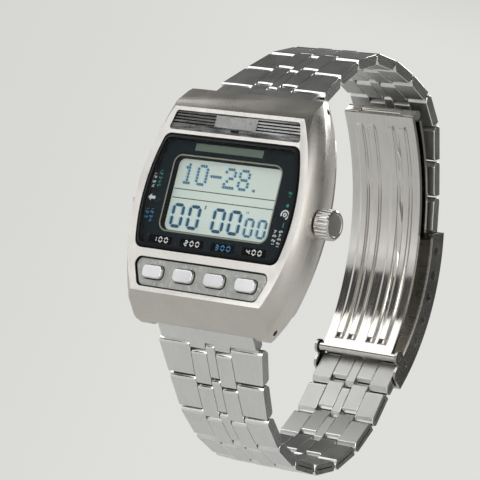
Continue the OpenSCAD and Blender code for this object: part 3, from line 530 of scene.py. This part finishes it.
def tray_plate():
    """The speckled plate, its corners rounded, with a hole for each button."""
    half = [rim_x(TRAY_TOP) - TRAY_IN_TOP - TRAY_GAP, rim_x(TRAY_POINT) - TRAY_IN - TRAY_GAP * 1.2,
            rim_x(TRAY_LOW) - TRAY_IN - TRAY_GAP]
    heights = [TRAY_TOP - TRAY_GAP, TRAY_POINT, TRAY_LOW + TRAY_GAP]
    corners = [(x, z) for x, z in zip(half, heights)] + [(-x, z) for x, z in zip(half[::-1], heights[::-1])]
    rim = fillet(corners, [TRAY_ROUND] * 6, 6)
    wells = [round_box(x - WELL_HALF_X, x + WELL_HALF_X, BUTTON_Z - WELL_HALF_Z, BUTTON_Z + WELL_HALF_Z,
                       WELL_ROUND) for x in BUTTON_X]
    bm = bmesh.new()
    edges = []
    for outline in [rim] + wells:
        ring = [bm.verts.new(at(p[0], TRAY_FRONT, p[1])) for p in outline]
        edges += [bm.edges.new((ring[i - 1], ring[i])) for i in range(len(ring))]
    bmesh.ops.triangle_fill(bm, edges=edges, use_beauty=True, use_dissolve=False)
    made = bmesh.ops.extrude_face_region(bm, geom=list(bm.faces))
    for v in made["geom"]:
        if isinstance(v, bmesh.types.BMVert):
            v.co.y += (TRAY_BACK - TRAY_FRONT) * MM
    bmesh.ops.recalc_face_normals(bm, faces=bm.faces)
    mesh = bpy.data.meshes.new("tray_plate")
    bm.to_mesh(mesh)
    bm.free()
    smooth(mesh, 30)
    plate = finish_piece("tray_plate", mesh, "case", ["tray_steel"], ("button_tray",))
    edge_roll(plate, 0.05, 2, 40)


tray_plate()


# Dial and display prints, in mm behind the front rim, across and up

DIAL = 1.25           # depth of the printed dial's face
LCD = 2.30            # depth of the display's face
PRINT_GAP = 0.002     # how far a mark stands off the face that it is printed on
LCD_LIFT = 0.012      # how far the display's marks stand in front of their painted shadows
WINDOW_X, WINDOW_TOP, WINDOW_LOW, WINDOW_ROUND = 11.4, 8.2, -5.6, 1.7
WINDOW_W = 0.5        # width of the window's frame
WINDOW_BACK = LCD - 0.03
LIP = 0.03            # how far the painted lip stands over the dial
LIP_W = 0.24


def window_frame():
    """A thin painted lip round the window, with a slope down to the display painted near black as shade."""
    bm = bmesh.new()
    loops = []
    for inset, depth in ((0.0, WINDOW_BACK), (0.0, DIAL - LIP), (LIP_W, DIAL - LIP), (WINDOW_W, WINDOW_BACK)):
        outline = round_box(inset - WINDOW_X, WINDOW_X - inset, inset + WINDOW_LOW, WINDOW_TOP - inset,
                            WINDOW_ROUND - inset, 6)
        loops.append([bm.verts.new(at(p[0], depth, p[1])) for p in outline])
    for i, low in enumerate(loops):
        high = loops[(i + 1) % len(loops)]
        for k in range(len(low)):
            face = bm.faces.new((low[k - 1], low[k], high[k], high[k - 1]))
            # The lip takes the paint, the slope near black painted shade.
            face.material_index = 0 if i == 1 else 1
    bmesh.ops.recalc_face_normals(bm, faces=bm.faces)
    mesh = bpy.data.meshes.new("window_lip")
    bm.to_mesh(mesh)
    bm.free()
    smooth(mesh, 30)
    finish_piece("window_lip", mesh, "case", ["window_paint", "window_wall_painted_shade"],
                 ("window_frame",))


window_frame()


def dial_marks(name, shapes, material, lift=0.0):
    """Marks printed on the dial."""
    back = DIAL - PRINT_GAP - lift
    plates(name, shapes, back, back - PRINT_T, "case", material)


def lcd_marks(name, shapes, material, lift=LCD_LIFT):
    """Marks of the display."""
    back = LCD - PRINT_GAP - lift
    plates(name, shapes, back, back - PRINT_T / 2, "case", material)


def segment(x0, z0, x1, z1, w):
    """A pointed bar from one point to another, w wide."""
    a, b = Vector((x0, z0)), Vector((x1, z1))
    d = (b - a).normalized()
    s = Vector((-d.y, d.x)) * w / 2
    tip = d * w / 2
    return [a, a + tip + s, b - tip + s, b, b - tip - s, a + tip - s]


DIGIT_BARS = {"0": "abcdef", "1": "bc", "2": "abged", "3": "abgcd", "4": "fgbc", "5": "afgcd"}
BAR_GAP = 0.16        # gap at a bar's ends, as a share of its width


def seven(char, x, z_top, w, h, t):
    """The lit bars of one seven bar digit, w by h, its upper left corner at x, z_top, bars t wide."""
    m = t / 2
    gap = t * BAR_GAP
    x0, x1 = x + m, x + w - m
    z0, zm, z1 = z_top - m, z_top - h / 2, z_top - h + m
    ends = {"a": (x0 + gap, z0, x1 - gap, z0), "d": (x0 + gap, z1, x1 - gap, z1),
            "g": (x0 + gap, zm, x1 - gap, zm),
            "f": (x0, z0 - gap, x0, zm + gap), "e": (x0, zm - gap, x0, z1 + gap),
            "b": (x1, z0 - gap, x1, zm + gap), "c": (x1, zm - gap, x1, z1 + gap)}
    return [segment(*ends[k], t) for k in DIGIT_BARS[char]]


DOTS = {
    "0": ("01110", "10001", "10001", "10001", "10001", "10001", "01110"),
    "1": ("00100", "01100", "00100", "00100", "00100", "00100", "01110"),
    "2": ("01110", "10001", "00001", "00110", "01000", "10000", "11111"),
    "8": ("01110", "10001", "10001", "01110", "10001", "10001", "01110"),
    "-": ("00000", "00000", "00000", "11111", "00000", "00000", "00000"),
    ".": ("00000", "00000", "00000", "00000", "00000", "00000", "01000"),
}


def dotted(text, x, z_top, step_x, step_z, pitch, dot):
    """A row of dot characters, pitch apart; dot is the share of a step that a dot fills."""
    shapes = []
    for n, char in enumerate(text):
        for r, line in enumerate(DOTS[char]):
            for c, lit in enumerate(line):
                if lit == "1":
                    x0 = x + n * pitch + c * step_x
                    z0 = z_top - r * step_z
                    shapes.append([(x0, z0), (x0 + dot * step_x, z0), (x0 + dot * step_x, z0 - dot * step_z),
                                   (x0, z0 - dot * step_z)])
    return shapes


BIG = (-0.25, 2.55, 4.35, 0.56)       # the lower row's digits: top, width, height, width of a bar
SMALL = (-1.25, 1.85, 3.35, 0.40)
BIG_X = (-10.0, -6.5, -1.3, 2.1)      # their left edges
SMALL_X = (5.55, 8.2)
PAINTED_SHADOW_SHIFTS = (Vector((-0.30, 0.05)), Vector((0.16, -0.05)))    # shifts of the marks' painted shadows on the reflector, bluish copies of the marks
RULE_Z = (2.36, 0.78)                 # the two lines between the rows
RULE_HALF = 10.75
RULE_W = 0.16
big_bars = [s for x in BIG_X for s in seven("0", x, *BIG)]
small_bars = [s for x in SMALL_X for s in seven("0", x, *SMALL)]
ticks = [[(-3.35, -0.1), (-3.05, -0.1), (-3.15, -0.75), (-3.4, -0.75)],
         [(5.35, -0.15), (5.5, -0.15), (5.42, -0.6), (5.3, -0.6)],
         [(5.68, -0.15), (5.83, -0.15), (5.75, -0.6), (5.63, -0.6)]]
upper = dotted("10-28.", -9.65, 6.95, 0.47, 0.54, 2.93, 0.86)
# Painted shadows: bluish copies of the marks, shifted, just behind them.
for n, shift in enumerate(PAINTED_SHADOW_SHIFTS):
    lcd_marks(f"lcd_painted_shadows_{n + 1}", [[Vector(p) + shift for p in s] for s in big_bars + small_bars + upper],
              "lcd_painted_shadow", 0.004 * n)
lcd_marks("lcd_digits", big_bars, "lcd_dark")
lcd_marks("lcd_small_digits", small_bars + ticks, "lcd_mid")
lcd_marks("lcd_upper_row", upper, "lcd_mid")
lcd_marks("lcd_rules", [[(-RULE_HALF, z), (RULE_HALF, z), (RULE_HALF, z - RULE_W), (-RULE_HALF, z - RULE_W)]
                        for z in RULE_Z], "lcd_line")

dial_marks("olive_plate", [round_box(-7.55, 6.6, 9.08, 10.38, 0.12)], "olive_plate")

DIGIT_W = 0.72        # width of a small printed digit, as a share of its pitch


def number_line(text, x, z, height, pitch, weight, way="level"):
    """A line of plain numbers from a point: level, reading down or reading up."""
    ways = {"level": lambda u, v: (x + u, z + v), "down": lambda u, v: (x + v, z - u),
            "up": lambda u, v: (x - v, z + u)}
    bars = [s for n, char in enumerate(text)
            for s in seven(char, n * pitch, height, pitch * DIGIT_W, height, weight)]
    return [[ways[way](q[0], q[1]) for q in s] for s in bars]


LABEL_X = (-10.2, -3.55, 2.95, 9.4)   # middles of the labels over the buttons
LABEL_HALF = 2.45
LABEL_LOW, LABEL_TOP = -7.9, -6.45
dial_marks("label_plates", [round_box(x - LABEL_HALF, x + LABEL_HALF, LABEL_LOW, LABEL_TOP, 0.1)
                            for x in LABEL_X], "dial_black")
for n, x in enumerate(LABEL_X):
    dial_marks(f"label_number_{n + 1}", number_line(f"{n + 1}00", x - 1.62, -7.7, 1.04, 1.2, 0.25),
               "print_blue" if n == 2 else "print_white", PRINT_T)


def ring(x, z, r0, r1, a0, a1, n=20):
    """A flat ring or a part of one, from angle a0 to a1, as n four sided shapes."""
    quads = []
    for i in range(n):
        s = math.radians(a0 + (a1 - a0) * i / n)
        t = math.radians(a0 + (a1 - a0) * (i + 1) / n)
        corners = ((r0, s), (r1, s), (r1, t), (r0, t))
        quads.append([(x + r * math.cos(a), z + r * math.sin(a)) for r, a in corners])
    return quads


def disc(x, z, r, n=16):
    """A round dot with n sides."""
    angles = [math.tau * k / n for k in range(n)]
    return [(x + r * math.cos(a), z + r * math.sin(a)) for a in angles]


dial_marks("left_green_numbers", number_line("12345", -13.75, 5.3, 0.74, 0.70, 0.16, "down"), "print_green")
dial_marks("left_white_numbers", number_line("1234", -14.95, 4.75, 0.78, 0.80, 0.18, "down"), "print_white")
dial_marks("left_arrow", [[(-15.0, 0.0), (-14.3, 0.62), (-14.3, 0.26), (-13.45, 0.26), (-13.45, -0.26),
                           (-14.3, -0.26), (-14.3, -0.62)]], "print_white")
dial_marks("left_blue_numbers", number_line("1234", -13.75, -1.6, 0.74, 0.72, 0.17, "down")
           + number_line("123", -14.8, -1.6, 0.74, 0.80, 0.17, "down"), "print_blue")
dial_marks("right_green_numbers", number_line("12", 14.2, 2.6, 0.7, 0.8, 0.16, "up")
           + [disc(13.86, 1.5, 0.3)], "print_green")
dial_marks("right_rings", ring(13.75, -0.1, 0.16, 0.38, 0, 360) + ring(13.75, -0.1, 0.62, 0.86, -70, 200),
           "print_white")
dial_marks("right_dash", [[(13.84, -1.45), (14.02, -1.45), (14.02, -2.3), (13.84, -2.3)]], "print_green")
dial_marks("right_white_numbers", number_line("1234", 13.05, -5.75, 0.74, 0.78, 0.17, "up")
           + number_line("12345", 14.1, -6.0, 0.72, 0.68, 0.16, "up"), "print_white")


# Bracelet, in mm and degrees

PITCH = 6.8           # from one hinge pin to the next
HALF_T = 1.0          # half the thickness of a link
EYE = 0.58            # how far a column's nose reaches past its pin
CUT = 0.88            # how far from the pin a column without a nose ends
NOSE_V = 0.3          # how far below the pins the ends of a column are upright
WRIST_NOSE = 0.25     # from the pin to the start of the wrist side, at a nose and at a cut end
WRIST_CUT = CUT + 0.4
NOSE_ROUND = 0.3      # roundings of a column's outline
FOLDED_ROUND = 0.55
WRIST_ROUND = 0.4
CREST_ROUND = 0.14
STRIP = ((0.76, 0.0), (0.54, 0.05), (0.38, 0.16), (0.10, 0.56), (0.0, 0.74))    # the polished bevel
INNER = 4.3           # x of the joint between the outer and the inner columns
CENTRE = 0.95         # half the width of the middle column
GAP = 0.06            # half the gap between two columns
OUTER_ROLL = 0.1      # rounding of the columns' side edges
INNER_ROLL = 0.07
CORE_U, CORE_V, CORE_IN = 1.3, 0.6, 0.2    # the core, painted near black as shade between the columns: from the pins, half height, from the sides
BAR = (5.5, 19.4)     # spring bar, in mm behind the rim and up
LEAD_ANGLE = 45       # slope and length from there to the first pin
LEAD_LEN = 4.0 + EYE + 0.12
# Slope of each row from the case on, at 12 and at 6 o'clock
DRAPE = {12: [43, 40, 26, 6, -5, -12, -38, -64, -65, -72],
         6: [51, 47, 31, 16, -2, -18, -38, -54, -69, -67]}
ROWS = 10
CLASP_HALF_W = 8.2    # half the width at the clasp
FLARE = 2.7           # how much wider it is at the case, and how that falls from pin to pin
FLARE_FALL = 0.63
HALF_WIDTHS = [CLASP_HALF_W + FLARE * FLARE_FALL ** i for i in range(ROWS + 1)]
FACE, EDGE, SIDE, PAINTED_SHADE, WRIST = range(5)
# Side walls take a darker copy of the link steel as painted shade, and gaps and the core near black painted
# shade.
LINK_LOOKS = ["link_steel", "link_edge", "link_side_painted_shade", "painted_shade_black", "link_back"]


def hinges(side):
    """Where the pins of one half of the bracelet lie, before it is mirrored to its side."""
    y, z = BAR
    points = []
    for angle, length in zip([LEAD_ANGLE] + DRAPE[side], [LEAD_LEN] + [PITCH] * ROWS):
        y += length * math.cos(math.radians(angle))
        z += length * math.sin(math.radians(angle))
        points.append((y, z))
    return points


def column(nose_first, nose_round=NOSE_ROUND):
    """Side outline of a link column with its nose at the row's start or else its end, and
    the finishes of those of its walls that differ from the top."""
    start, end = (-EYE, PITCH - CUT) if nose_first else (CUT, PITCH + EYE)
    wrist = (WRIST_NOSE, PITCH - WRIST_CUT) if nose_first else (WRIST_CUT, PITCH - WRIST_NOSE)
    low = fillet([(start, -NOSE_V), (wrist[0], -HALF_T), (wrist[1], -HALF_T), (end, -NOSE_V),
                  (end, HALF_T), (start, HALF_T)],
                 [nose_round, WRIST_ROUND, WRIST_ROUND, nose_round, CREST_ROUND, 0.0])[:-1]
    line = low + [Vector((start + u, HALF_T - v)) for u, v in STRIP]
    finishes = {i: EDGE for i in range(len(low), len(line) - 1)}
    # Bevel walls take the polished edge, flat wrist walls the back finish, and near upright walls, which face
    # the gaps between rows, near black painted shade.
    for i, point in enumerate(line):
        step = line[(i + 1) % len(line)] - point
        if abs(step.y) < 0.01 and point.y < 0:
            finishes[i] = WRIST
        elif abs(step.x) < 0.12 * abs(step.y):
            finishes[i] = PAINTED_SHADE
    return line, finishes


def place_row(origin, angle, side):
    """From (x, u, v) of a link to the part's frame."""
    c, s = math.cos(math.radians(angle)), math.sin(math.radians(angle))
    flip = 1 if side == 12 else -1

    def place(x, u, v):
        return at(x, origin[0] + u * c - v * s, flip * (origin[1] + u * s + v * c))
    return place


def add_column(bm, outline, left, right, place, material=FACE, roll=0.0, finishes=None, side=None):
    """A solid from left to right, which give x at a distance u along the row. finishes gives
    the material of single walls, and side that of its two sides."""
    low = [place(left(p[0]), p[0], p[1]) for p in outline]
    high = [place(right(p[0]), p[0], p[1]) for p in outline]
    ends, walls = prism(bm, low, high, material, side)
    for i, finish in (finishes or {}).items():
        walls[i].material_index = finish
    if roll:
        rim = [e for f in ends for e in f.edges]
        made = bmesh.ops.bevel(bm, geom=rim, offset=roll * MM, segments=2, profile=0.5, affect="EDGES",
                               clamp_overlap=True, material=-1)
        for f in made["faces"]:
            f.material_index = EDGE


def sharpen(bm, degrees):
    """Smooth faces, with sharp edges at steep angles and where the finish changes."""
    for f in bm.faces:
        f.smooth = True
    for e in bm.edges:
        faces = e.link_faces
        steep = len(faces) == 2 and e.calc_face_angle(0.0) > math.radians(degrees)
        e.smooth = not (steep or len({f.material_index for f in faces}) > 1)


def link_mesh(name, place, a, b, outer, inner, folded):
    """The five columns of a row and its core; a and b are its half widths at its two pins.
    A folded row shows a slit in its sides, a thin plate painted near black as shade."""
    bm = bmesh.new()
    slope = (b - a) / PITCH

    def edge(sign, inset=0.0):
        return lambda u: sign * (a + slope * u - inset)

    def fixed(x):
        return lambda u: x

    for (outline, finishes), left, right, roll, side in (
            (outer, edge(-1), fixed(-INNER - GAP), OUTER_ROLL, SIDE),
            (outer, fixed(INNER + GAP), edge(1), OUTER_ROLL, SIDE),
            (outer, fixed(GAP - CENTRE), fixed(CENTRE - GAP), INNER_ROLL, None),
            (inner, fixed(GAP - INNER), fixed(-CENTRE - GAP), INNER_ROLL, None),
            (inner, fixed(CENTRE + GAP), fixed(INNER - GAP), INNER_ROLL, None)):
        add_column(bm, outline, left, right, place, FACE, roll, finishes, side)
    # The core between the columns is painted near black as shade.
    core = [(CORE_U, -CORE_V), (PITCH - CORE_U, -CORE_V), (PITCH - CORE_U, CORE_V), (CORE_U, CORE_V)]
    add_column(bm, core, edge(-1, CORE_IN), edge(1, CORE_IN), place, PAINTED_SHADE)
    if folded:
        field = round_box(-0.25, 5.75, -0.66, 0.66, 0.6, 5)
        slit = round_box(0.35, 5.2, -0.13, 0.13, 0.12, 2)
        # The slit is a thin plate painted near black as shade.
        for outline, lift, material in ((field, 0.004, SIDE), (slit, 0.012, PAINTED_SHADE)):
            add_column(bm, outline, edge(1, 0.3), edge(1, -lift), place, material)
            add_column(bm, outline, edge(-1, 0.3), edge(-1, -lift), place, material)
    sharpen(bm, 38)
    mesh = bpy.data.meshes.new(name)
    bm.to_mesh(mesh)
    bm.free()
    return mesh


def store_grain(mesh, origin, angle, side):
    """Keeps (u, x, v) in metres for the brushing lines."""
    c, s = math.cos(math.radians(angle)), math.sin(math.radians(angle))
    flip = 1 if side == 12 else -1
    layer = mesh.attributes.new("grain", "FLOAT_VECTOR", "POINT")
    for vert, item in zip(mesh.vertices, layer.data):
        y = vert.co.y + (CASE_T - origin[0]) * MM
        z = vert.co.z * flip - origin[1] * MM
        item.vector = (y * c + z * s, vert.co.x, z * c - y * s)


OUTER_COLUMN, INNER_COLUMN, FOLDED_COLUMN = column(True), column(False), column(True, FOLDED_ROUND)
FIRST_FOLDED = 5      # from this row on, the links at 6 o'clock are the folded kind
for side in (12, 6):
    points = hinges(side)
    for i in range(1, ROWS + 1):
        node = f"link_{side}_{i:02d}"
        origin, angle = points[i - 1], DRAPE[side][i - 1]
        folded = side == 6 and i >= FIRST_FOLDED
        mesh = link_mesh(node + "_links", place_row(origin, angle, side), HALF_WIDTHS[i - 1], HALF_WIDTHS[i],
                         FOLDED_COLUMN if folded else OUTER_COLUMN, INNER_COLUMN, folded)
        store_grain(mesh, origin, angle, side)
        finish_piece(node + "_links", mesh, node + "_body", LINK_LOOKS, (node,))
    end_link = dress(f"end_link_{side}", f"end_link_{side}_body", "link_steel")
    store_grain(end_link.data, BAR, LEAD_ANGLE, side)

dress("clasp_long_blade", "clasp_long_blade_body", "blade_steel")
dress("clasp_short_blade", "clasp_short_blade_body", "blade_steel")
dress("clasp_cover", "clasp_cover_body", "cover_steel", 0.10, 2, 30,
      (["cover_side_painted_shade", "bright_edge"], cover_face), 2)


# Pressed ribs of the long blade

BLADE_CENTRE = (12.52, -1.99)     # axis of its arc, in mm behind the rim and up
BLADE_FACE = 43.25                # radius of its inner face
BLADE_FROM, BLADE_TO = -12.9, 42.9
BLADE_HALF_W = 7.3
SHEET_PROUD, SHEET_DEEP = 0.03, 0.1    # how far the sheet stands off the blade and reaches into it
RIB_H = 0.26
RIB_FLAT = 0.56                   # half the flat top of a rib
RIB_FLANK = 0.55
RIB_RUN = 0.9                     # how fast a rib rises at its ends
RIB_X = (-4.65, -2.05, 2.05, 4.65)


def ease(t):
    """From 0 to 1, smooth at both ends."""
    return 0.5 - 0.5 * math.cos(math.pi * min(1.0, max(0.0, t)))


def rib_height(x, along):
    """Height of the pressed face; along is the distance in mm to the nearer end."""
    side = max(ease((RIB_FLAT + RIB_FLANK - abs(x - c)) / RIB_FLANK) for c in RIB_X)
    return RIB_H * side * ease(along / RIB_RUN)


def blade_ribs(rows=72, columns=75):
    """The inner face of the long blade as one smooth pressed sheet."""
    bm = bmesh.new()
    length = math.radians(BLADE_TO - BLADE_FROM) * BLADE_FACE

    def skin(height):
        grid = []
        for i in range(rows + 1):
            t = i / rows
            a = math.radians(BLADE_FROM + (BLADE_TO - BLADE_FROM) * t)
            line = []
            for j in range(columns + 1):
                x = BLADE_HALF_W * (2 * j / columns - 1)
                r = BLADE_FACE - height(x, length * min(t, 1 - t))
                y, z = BLADE_CENTRE[0] + r * math.cos(a), BLADE_CENTRE[1] + r * math.sin(a)
                line.append(bm.verts.new(at(x, y, z)))
            grid.append(line)
        return grid

    top = skin(lambda x, along: SHEET_PROUD + rib_height(x, along))
    low = skin(lambda x, along: -SHEET_DEEP)
    for grid in (top, low):
        for i in range(rows):
            for j in range(columns):
                bm.faces.new((grid[i][j], grid[i + 1][j], grid[i + 1][j + 1], grid[i][j + 1]))
    border = [(i, 0) for i in range(rows)] + [(rows, j) for j in range(columns)]
    border += [(i, columns) for i in range(rows, 0, -1)] + [(0, j) for j in range(columns, 0, -1)]
    for (i, j), (k, m) in zip(border, border[1:] + border[:1]):
        bm.faces.new((top[i][j], top[k][m], low[k][m], low[i][j]))
    bmesh.ops.recalc_face_normals(bm, faces=bm.faces)
    mesh = bpy.data.meshes.new("blade_ribs")
    bm.to_mesh(mesh)
    bm.free()
    smooth(mesh, 40)
    finish_piece("blade_ribs", mesh, "clasp_long_blade_body", ["blade_steel"])


blade_ribs()


# Floor and light, in metres

FLOOR_Z = -0.105
FLOOR_HALF = 6
GLOW_NEAR, GLOW_FAR = (0.2, 0.06), (1.0, 0.5)    # distance, and strength of the floor's own light there
# Tones of the world by height, from straight down (0) to straight up (1)
SKY_STOPS = [(0.0, 0.45), (0.40, 0.50), (0.50, 0.85), (0.615, 0.85), (0.68, 0.32), (0.78, 0.15), (1.0, 0.14)]
# Its tones by the angle to the bright side, from opposite (0) to straight at it (1)
SIDE_STOPS = [(0.0, 0.10), (0.045, 0.18), (0.14, 0.78), (0.35, 0.75), (0.62, 0.45), (0.80, 0.85),
              (0.94, 0.72), (0.978, 0.10), (1.0, 0.07)]
BRIGHT_SIDE = (-0.58, -0.80, 0.12)
WORLD_STRENGTH = 1.15


def make_floor():
    """A pale plain floor. The camera, metal and glass see it glow faintly further out."""
    bm = bmesh.new()
    corners = [(-FLOOR_HALF, -FLOOR_HALF), (FLOOR_HALF, -FLOOR_HALF), (FLOOR_HALF, FLOOR_HALF),
               (-FLOOR_HALF, FLOOR_HALF)]
    bm.faces.new([bm.verts.new((x, y, FLOOR_Z)) for x, y in corners])
    mesh = bpy.data.meshes.new("floor")
    bm.to_mesh(mesh)
    bm.free()
    floor = bpy.data.objects.new("floor", mesh)
    scene.collection.objects.link(floor)
    g = Graph("floor")
    soft = g.noise(g.place((3, 3, 3)), 2.0, 0.5)
    tone = g.blend(g.span(soft, 0, 1), (0.78, 0.78, 0.77), (0.82, 0.82, 0.81))
    g.join(tone, g.shader, "Result", "Base Color")
    g.shader.inputs["Roughness"].default_value = 0.8
    far = g.add("VectorMath", operation="LENGTH")
    g.join(g.place((1, 1, 0)), far, "Vector", 0)
    glow = g.span(far, GLOW_NEAR[1], GLOW_FAR[1], "Value", a=GLOW_NEAR[0], b=GLOW_FAR[0])
    path = g.add("LightPath")
    seen = g.add("Math", operation="MAXIMUM")
    g.join(path, seen, "Is Camera Ray", 0)
    g.join(path, seen, "Is Glossy Ray", 1)
    seen_too = g.add("Math", operation="MAXIMUM")
    g.join(seen, seen_too, 0, 0)
    g.join(path, seen_too, "Is Transmission Ray", 1)
    emit = g.add("Emission")
    g.join(g.math("MULTIPLY", glow, seen_too), emit, 0, "Strength")
    both = g.add("AddShader")
    g.join(g.shader, both, 0, 0)
    g.join(emit, both, 0, 1)
    g.join(both, g.out, 0, "Surface")
    mesh.materials.append(g.mat)


def make_world():
    """A pale studio, darker overhead, at the back right, and where the dial's glass looks."""
    world = bpy.data.worlds.new("studio")
    scene.world = world
    world.use_nodes = True
    tree = world.node_tree
    back = tree.nodes["Background"]
    coords = tree.nodes.new("ShaderNodeTexCoord")

    def ramp(direction, stops):
        """A tone that follows the angle to a direction, from opposite (0) to straight at it (1)."""
        dot = tree.nodes.new("ShaderNodeVectorMath")
        dot.operation = "DOT_PRODUCT"
        tree.links.new(coords.outputs["Generated"], dot.inputs[0])
        dot.inputs[1].default_value = Vector(direction).normalized()
        span = tree.nodes.new("ShaderNodeMapRange")
        span.inputs["From Min"].default_value = -1
        tree.links.new(dot.outputs["Value"], span.inputs["Value"])
        node = tree.nodes.new("ShaderNodeValToRGB")
        tree.links.new(span.outputs[0], node.inputs[0])
        node.color_ramp.elements[0].position = stops[0][0]
        node.color_ramp.elements[1].position = stops[-1][0]
        for place, _ in stops[1:-1]:
            node.color_ramp.elements.new(place)
        for element, (_, tone) in zip(node.color_ramp.elements, stops):
            element.color = (tone, tone, tone * 0.985, 1)
        return node

    by_height = ramp((0, 0, 1), SKY_STOPS)
    by_side = ramp(BRIGHT_SIDE, SIDE_STOPS)
    total = tree.nodes.new("ShaderNodeMix")
    total.data_type = "RGBA"
    total.blend_type = "MULTIPLY"
    total.inputs["Factor"].default_value = 1.0
    tree.links.new(by_height.outputs[0], total.inputs["A"])
    tree.links.new(by_side.outputs[0], total.inputs["B"])
    tree.links.new(total.outputs["Result"], back.inputs["Color"])
    back.inputs["Strength"].default_value = WORLD_STRENGTH


def lamp(name, place, size, energy):
    """A soft white lamp that looks at the middle of the watch."""
    data = bpy.data.lights.new(name, "AREA")
    data.shape = "RECTANGLE"
    data.size, data.size_y = size
    data.energy = energy
    obj = bpy.data.objects.new(name, data)
    scene.collection.objects.link(obj)
    obj.location = place
    obj.rotation_mode = "QUATERNION"
    obj.rotation_quaternion = (-Vector(place)).to_track_quat("-Z", "Y")


make_floor()
make_world()
lamp("key", (-0.48, -0.46, 0.52), (1.15, 0.6), 3.2)
lamp("fill", (0.05, -0.75, 0.08), (0.5, 0.3), 1.2)
lamp("side", (0.55, -0.05, 0.15), (0.2, 0.4), 0.35)
lamp("back", (0.05, 0.45, 0.35), (0.4, 0.2), 0.8)
